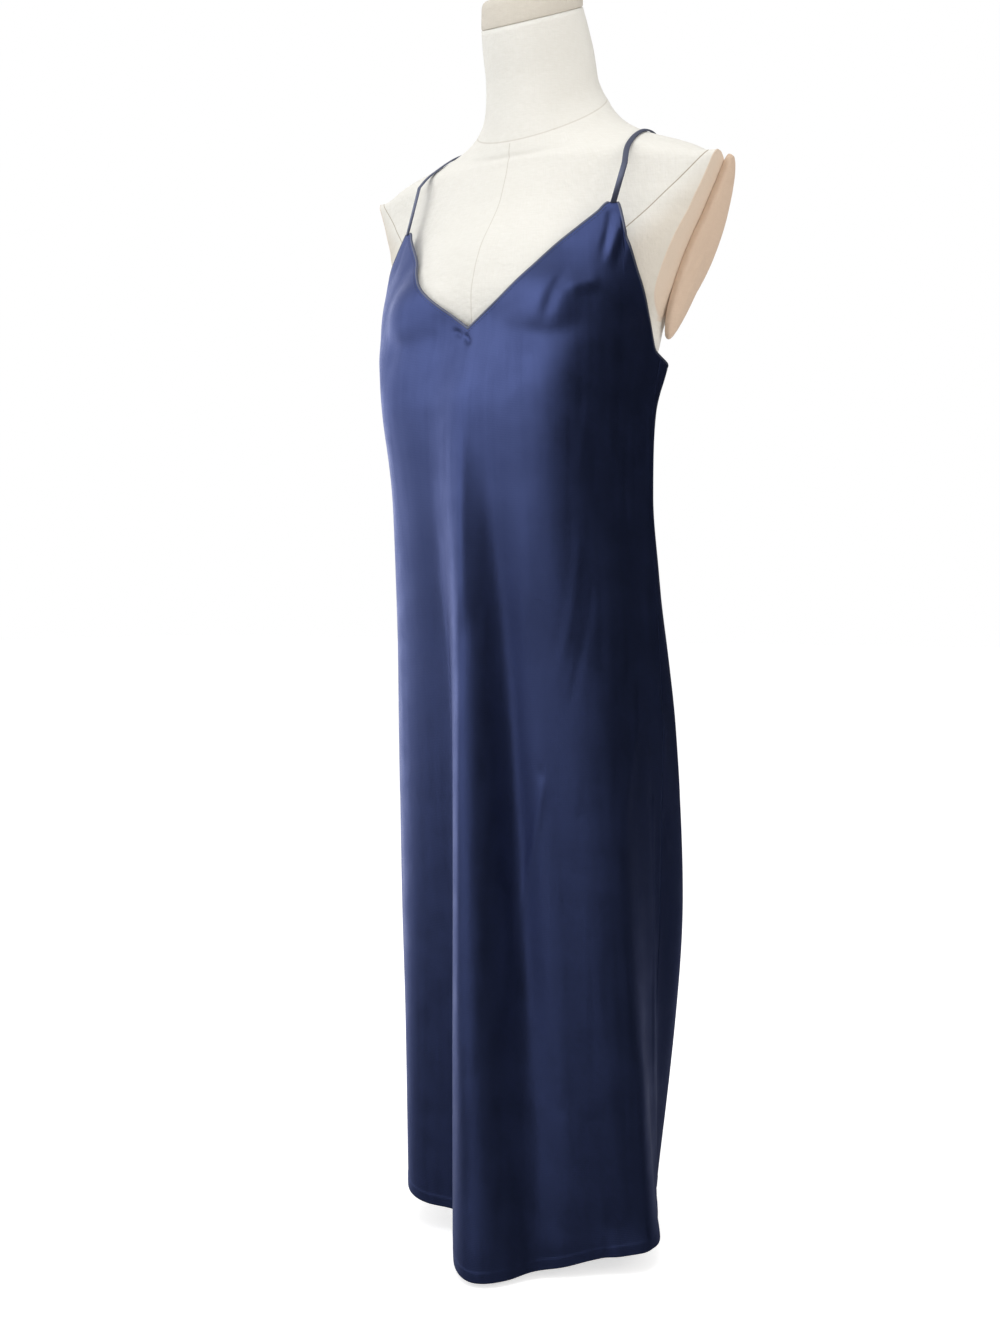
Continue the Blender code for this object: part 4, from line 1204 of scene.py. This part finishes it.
@dataclass(frozen=True)
class Strap:
    """A narrow strap from the front's tip over the shoulder to the back."""

    side: Side
    inward_start: float
    width: float = 0.0056
    thickness: float = 0.0017
    clearance: float = 0.0006
    centre_height: float = 0.930
    turns: Pair = (66.0, 216.0)
    back_angle: float = 129.0
    steps: int = 120
    end_gap: float = -0.0012
    segments: int = 16
    squareness: float = 2.8
    pull_rounds: int = 500
    twist_rounds: int = 12

    def path(self, shape: DressShape, surface: BVHTree) -> list[tuple[Vector, Vector]]:
        """Middle line of the strap, pulled straight where the shoulder is hollow below it.

        Args:
            shape: Sizes of the dress.
            surface: The form's surface.

        Returns:
            Pairs of a point and the outward direction there.
        """
        side, ends = self.side.value, []
        for angle in (side * 0.5 * sum(shape.strap_tip), side * self.back_angle):
            place = np.array([angle]), shape.top_height(np.array([angle])) + self.end_gap
            ends.append((Vector(shape.points(*place)[0]), Vector(shape.normals(*place)[0])))
        inside = [Vector((end[0].x, 0.0, self.centre_height)) for end in ends]
        lift = 0.5 * self.thickness + self.clearance
        middles = [ends[0]]
        for i in range(self.steps):
            share = i / (self.steps - 1)
            turn = math.radians(self.turns[0] + (self.turns[1] - self.turns[0]) * share)
            centre = inside[0].lerp(
                inside[1], self.inward_start + (1.0 - self.inward_start) * share)
            ray = Vector((0.0, -math.cos(turn), math.sin(turn)))
            hit, normal, _, _ = surface.ray_cast(centre, ray)
            middles.append((hit + normal * lift, normal))
        point, normal = (np.array([tuple(m[k]) for m in middles + [ends[1]]]) for k in (0, 1))
        for _ in range(self.pull_rounds):
            between = 0.5 * (point[:-2] + point[2:])
            outward = ((between - point[1:-1]) * normal[1:-1]).sum(axis=1)
            point[1:-1] += normal[1:-1] * np.maximum(outward, 0.0)[:, None]
        for _ in range(self.twist_rounds):
            normal[1:-1] += 0.5 * (normal[:-2] + normal[2:])
            normal /= np.linalg.norm(normal, axis=1, keepdims=True)
        return [(Vector(p), Vector(n)) for p, n in zip(point, normal)]

    def build(self, shape: DressShape, surface: BVHTree, finish: Material) -> Piece:
        """Make the strap as a rounded tape, and put it in its place."""
        outline = oval(0.5 * self.width, 0.5 * self.thickness, self.segments, self.squareness)
        node = f"strap_{self.side.name.lower()}"
        body = sweep(self.path(shape, surface), outline, level_ends=True)
        piece = make_piece(f"{node}_tape", *body, finish,
                           lambda p: np.stack([p[:, 0], p[:, 2] + p[:, 1]], axis=1))
        return put_in_place(piece, node)


# ------------------------------------------------------------------ the form's pieces
@dataclass(frozen=True)
class ArmCut:
    """The plane that cuts both arm stubs, leaning in towards its foot."""

    x: float = 0.1890
    top: float = 1.0150
    bottom: float = 0.8840
    lean: float = 0.42

    def plane(self, side: Side) -> tuple[Vector, Vector]:
        """A point of the plane and its outward direction."""
        outward = Vector((side.value, 0.0, -self.lean)).normalized()
        return Vector((side.value * self.x, 0.0, self.top)), outward


@dataclass(frozen=True)
class Torso:
    """Torso and neck of the form, cut flat at both arm stubs."""

    shape: FormShape
    cut: ArmCut
    segments: int = 180
    yoke: Pair = (1.000, 1.110)
    yoke_rounds: int = 40
    rim_corners: int = 8
    steps: tuple[Pair, ...] = (
        (0.0, 0.012), (0.84, 0.004), (1.030, 0.0012), (1.075, 0.003), (1.12, 0.005))

    def heights(self) -> list[float]:
        """Heights of all the rings."""
        rows = [row[0] for row in self.shape.rings.rows]
        found = [rows[0]]
        for before, after in zip(rows, rows[1:]):
            step = [size for start, size in self.steps if start <= before][-1]
            extra = int((after - before) / step)
            found += [before + (after - before) * k / (extra + 1) for k in range(1, extra + 2)]
        return found

    def cut_off(self, work: bmesh.types.BMesh, side: Side) -> list[Vector]:
        """Cut an arm stub flat.

        Args:
            work: The torso.
            side: The side of the arm.

        Returns:
            The outline of the cut.
        """
        origin, outward = self.cut.plane(side)
        high = [v for v in work.verts if v.co.z > self.cut.bottom]
        keep = set(high)
        rest = [e for kind in (work.edges, work.faces) for e in kind if keep.issuperset(e.verts)]
        done = bmesh.ops.bisect_plane(work, geom=high + rest, dist=1e-6, plane_co=origin,
                                      plane_no=outward, clear_outer=True)
        rim = [e for e in done["geom_cut"] if isinstance(e, bmesh.types.BMEdge)]
        flat = bmesh.ops.contextual_create(work, geom=rim)["faces"][0]
        flat.smooth = False
        for edge in flat.edges:
            edge.smooth = False
        return [v.co.copy() for v in flat.verts]

    def build(self, finish: Material) -> tuple[Piece, list, BVHTree]:
        """Make the torso and smooth its yoke.

        Args:
            finish: Its material.

        Returns:
            The piece, the outline of each arm stub's cut, and the torso's surface.
        """
        rings = [self.shape.ring(h, self.segments) for h in self.heights()]
        body = ring_loft(rings, rings[0].mean(axis=0), rings[-1].mean(axis=0))
        piece = make_piece("linen_torso", *body, finish, uv=None)
        work = bmesh.new()
        work.from_mesh(piece.data)
        outlines = [self.cut_off(work, side) for side in Side]
        rims = {v for f in work.faces if len(f.verts) > self.rim_corners for v in f.verts}
        yoke = [v for v in work.verts if self.yoke[0] < v.co.z < self.yoke[1]
                and v not in rims]
        for _ in range(self.yoke_rounds):
            bmesh.ops.smooth_vert(work, verts=yoke, factor=0.5, use_axis_x=True,
                                  use_axis_y=True, use_axis_z=True)
        bmesh.ops.recalc_face_normals(work, faces=work.faces)
        work.to_mesh(piece.data)
        surface = BVHTree.FromBMesh(work)
        work.free()
        set_uv(piece, polar_uv)
        return put_in_place(piece, "form_torso"), outlines, surface


@dataclass(frozen=True)
class ArmPlate:
    """A domed oval plate over the end of an arm stub."""

    side: Side
    thickness: float = 0.0070
    gap: float = 0.0003
    depth_share: float = 0.62
    bend_height: float = 0.9150
    tail_stretch: float = 1.80
    tail_lean: float = 0.15
    tail_forward: float = 0.35
    crown: float = 1.22
    profile: tuple[Pair, ...] = (
        (0.900, 0.0), (0.985, 0.0), (0.996, 0.06), (1.002, 0.20), (1.005, 0.40),
        (1.004, 0.60), (0.995, 0.78), (0.970, 0.92), (0.920, 1.03), (0.820, 1.11),
        (0.650, 1.17), (0.400, 1.21), (0.150, 1.22))

    def _placed(self, point: Vector, rear: float) -> Vector:
        """A point of the cut's outline moved back, and down below the bend."""
        down = max(0.0, self.bend_height - point.z) * (self.tail_stretch - 1.0)
        return Vector((point.x - self.side.value * self.tail_lean * down,
                       rear + (point.y - rear) * self.depth_share
                       - down * self.tail_forward, point.z - down))

    def build(self, outline: Sequence[Vector], outward: Vector, finish: Material) -> Piece:
        """Make the plate on a cut's outline, and put it in its place."""
        rear = max(p.y for p in outline)
        outline = [self._placed(p, rear) for p in outline]
        centre = sum(outline, Vector()) / len(outline)
        rings = [[centre + (p - centre) * size + outward * (self.gap + rise * self.thickness)
                  for p in outline] for size, rise in self.profile]
        body = ring_loft(rings, centre + outward * self.gap,
                         centre + outward * self.crown * self.thickness)
        name = f"arm_plate_{self.side.name.lower()}"
        piece = make_piece(f"{name}_cover", *body, finish, lambda p: p[:, 1:3])
        return put_in_place(piece, f"form_{name}")


@dataclass(frozen=True)
class NeckCap:
    """The low cap on top of the neck."""

    shape: FormShape
    gap: float = 0.0003
    segments: int = 128
    profile: tuple[Pair, ...] = (
        (0.900, 0.0), (0.975, 0.0), (0.992, 0.0006), (1.000, 0.0020), (0.998, 0.0110),
        (0.995, 0.0200), (0.985, 0.0235), (0.965, 0.0258), (0.920, 0.0274),
        (0.800, 0.0287), (0.600, 0.0296), (0.300, 0.0302))

    def build(self, finish: Material) -> Piece:
        """Make the cap, and put it in its place."""
        height = self.shape.rings.rows[-1][0]
        rings = [self.shape.ring(height, self.segments, size, self.gap + rise)
                 for size, rise in self.profile]
        body = ring_loft(rings, rings[0].mean(axis=0), rings[-1].mean(axis=0))
        return put_in_place(make_piece("neck_cap_cover", *body, finish),
                            "form_neck_cap")


# ------------------------------------------------------------------ the studio
@dataclass(frozen=True)
class Softbox:
    """A square soft light that looks at the dress and doesn't show in its shine."""

    name: str
    place: Triple
    size: float
    power: float
    colour: Triple = (1.0, 1.0, 1.0)
    aim: Triple = (0.0, 0.0, 0.62)

    def build(self) -> None:
        """Make the light."""
        data = bpy.data.lights.new(self.name, "AREA")
        data.shape, data.size, data.energy = "SQUARE", self.size, self.power
        data.color = self.colour
        lamp = link(self.name, data)
        lamp.location = self.place
        way = Vector(self.aim) - Vector(self.place)
        lamp.rotation_euler = way.to_track_quat("-Z", "Y").to_euler()
        lamp.visible_camera = lamp.visible_glossy = False


@dataclass(frozen=True)
class ShinePanel:
    """A broad soft patch of light that only shines on the cloth.

    A near patch is on a round wall about the dress and fades between two heights on it.
    """

    name: str
    way: Triple
    edges: Pair
    level: float
    fade: Pair | None = None

    def glow(self, s: NodeMaker, way: Socket) -> Socket:
        """How bright the patch is in a direction."""
        facing = s.vector("DOT_PRODUCT", way, tuple(Vector(self.way).normalized()))
        return s.ramp(facing, *self.edges, 0.0, self.level)


LIGHTS = (
    Softbox("key", (-1.5, -1.9, 1.5), 2.0, 22.0),
    Softbox("top", (0.1, -0.7, 2.6), 1.6, 16.0, aim=(0.0, 0.0, 0.9)),
    Softbox("right fill", (2.3, -0.6, 1.1), 1.6, 18.0, (1.0, 0.95, 0.90)),
)
SHINES = (
    ShinePanel("side", (-0.87, 0.50, 0.0), (0.55, 0.97), 2.40, (-1.40, 0.60)),
    ShinePanel("front", (-0.40, -0.88, 0.20), (0.38, 0.88), 1.26, (0.16, 1.06)),
    ShinePanel("upper front", (0.38, -0.66, 0.60), (0.82, 0.97), 0.66, (1.45, 2.20)),
    ShinePanel("top", (0.0, 0.0, 1.0), (0.40, 0.90), 0.50),
    ShinePanel("low back", (0.10, 0.99, 0.0), (0.75, 0.97), 0.45, (0.30, -0.30)),
    ShinePanel("floor", (0.0, 0.0, -1.0), (0.05, 0.45), 0.055),
)


@dataclass(frozen=True)
class Studio:
    """Floor, surroundings, lights and camera."""

    floor_finish: Material
    azimuth: float = 33.0
    distance: float = 1.70
    focal_pixels: float = 1700.0
    horizon: float = 600.0
    axis: float = 540.0
    height: float = 0.620
    frame: tuple[int, int] = (1000, 1333)
    sensor: float = 36.0
    wall_radius: float = 2.2
    wall_heights: Pair = (-0.8, 3.4)
    wall_sides: int = 96
    ambient: float = 0.50
    dim_shine: float = 0.012
    floor_half: float = 20.0

    def camera(self) -> None:
        """Place the camera by the horizon and by the dress's axis in the picture."""
        turn = math.radians(self.azimuth)
        yaw = math.atan((self.axis - self.frame[0] / 2) / self.focal_pixels)
        pitch = math.atan((self.frame[1] / 2 - self.horizon) / self.focal_pixels)
        heading = math.atan2(math.cos(turn), -math.sin(turn)) + yaw
        way = Vector((math.cos(heading) * math.cos(pitch),
                      math.sin(heading) * math.cos(pitch), -math.sin(pitch)))
        data = bpy.data.cameras.new("camera")
        data.sensor_width = self.sensor
        data.lens = self.sensor * self.focal_pixels / self.frame[1]
        camera = link("camera", data)
        camera.location = (self.distance * math.sin(turn), -self.distance * math.cos(turn),
                           self.height)
        camera.rotation_euler = way.to_track_quat("-Z", "Y").to_euler()
        bpy.context.scene.camera = camera

    def surroundings(self) -> None:
        """White to the eye, a soft grey as light, and far patches in the shine."""
        world = bpy.data.worlds.new("studio")
        bpy.context.scene.world = world
        world.use_nodes = True
        s = NodeMaker(world.node_tree)
        path = s.add("ShaderNodeLightPath").outputs
        way = s.add("ShaderNodeTexCoord").outputs["Generated"]
        glow: object = self.dim_shine
        for panel in SHINES:
            if panel.fade is None:
                glow = s.sum("ADD", glow, panel.glow(s, way))
        shine = s.get("ShaderNodeCombineXYZ", {0: glow, 1: glow, 2: glow})
        level = s.mix(path["Is Glossy Ray"], (self.ambient,) * 3, shine)
        seen = s.mix(path["Is Camera Ray"], level, (1.0, 1.0, 1.0))
        s.feed(world.node_tree.nodes["Background"], {"Color": seen})

    def wall(self) -> None:
        """A round wall that carries the near patches and lets all other light through."""
        material = bpy.data.materials.new("shine wall")
        material.use_nodes = True
        tree = material.node_tree
        tree.nodes.remove(tree.nodes["Principled BSDF"])
        s = NodeMaker(tree)
        spot = s.spot()
        height = s.add("ShaderNodeSeparateXYZ", {0: spot}).outputs[2]
        away = s.vector("SUBTRACT", spot, (0.0, 0.0, self.height))
        way = s.vector("NORMALIZE", away, (0.0, 0.0, 0.0))
        glow: object = 0.0
        for panel in SHINES:
            if panel.fade is not None:
                glow = s.sum("ADD", glow, s.sum(
                    "MULTIPLY", panel.glow(s, way), s.ramp(height, *panel.fade)))
        light = s.get("ShaderNodeEmission", {"Strength": glow})
        both = s.get("ShaderNodeAddShader", {0: light, 1: s.get("ShaderNodeBsdfTransparent")})
        s.feed(tree.nodes["Material Output"], {"Surface": both})
        count, radius = self.wall_sides, self.wall_radius
        turns = [2 * math.pi * k / count for k in range(count)]
        points = [(radius * math.cos(t), radius * math.sin(t), z)
                  for z in self.wall_heights for t in turns]
        faces = [(k, count + k, count + (k + 1) % count, (k + 1) % count)
                 for k in range(count)]
        wall = plain_mesh("shine_wall", points, faces, material)
        for ray in ("camera", "diffuse", "transmission", "volume_scatter", "shadow"):
            setattr(wall, f"visible_{ray}", False)

    def floor(self) -> None:
        """A pale floor."""
        half = self.floor_half
        corners = [(x * half, y * half, 0.0) for x, y in ((-1, -1), (1, -1), (1, 1), (-1, 1))]
        floor = plain_mesh("floor", corners, [(0, 1, 2, 3)], self.floor_finish)
        floor.visible_glossy = False

    def build(self) -> None:
        """Make the whole studio."""
        self.surroundings()
        self.wall()
        self.floor()
        for light in LIGHTS:
            light.build()
        self.camera()
        view = bpy.context.scene.view_settings
        view.view_transform, view.look = "Standard", "None"


def main() -> None:
    """Build every piece and the studio."""
    logging.basicConfig(level=logging.INFO, format="%(message)s", stream=sys.stdout)
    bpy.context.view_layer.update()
    effects = Effects()
    finish = {f.name: f.build(effects) for f in FINISHES}

    form, cut = FormShape(), ArmCut()
    shape = DressShape(form)
    _, outlines, surface = Torso(form, cut).build(finish["cream linen"])
    for side, outline in zip(Side, outlines):
        ArmPlate(side).build(outline, cut.plane(side)[1], finish["plate linen with painted shade"])
    NeckCap(form).build(finish["cap linen with painted shade"])
    for name in ("stand_base", "stand_pole"):
        materials = frame["nodes"][name].data.materials
        materials.clear()
        materials.append(finish["stand paint"])

    straps = [Strap(side, inward).build(shape, surface, finish["strap satin"])
              for side, inward in ((Side.LEFT, 0.0), (Side.RIGHT, 0.25))]
    maker = StitchMaker()
    for panel, extra in ((FRONT, straps), (BACK, [])):
        piece = panel.build(shape, finish["navy satin"])
        trims = [run.build(shape, maker, finish["navy thread"]) for run in panel.stitching]
        trims += [roll.build(shape, finish["strap satin"]) for roll in panel.edgings]
        panel.dress(piece, trims + extra)

    Studio(finish["pale floor"]).build()


if __name__ == "__main__":
    main()
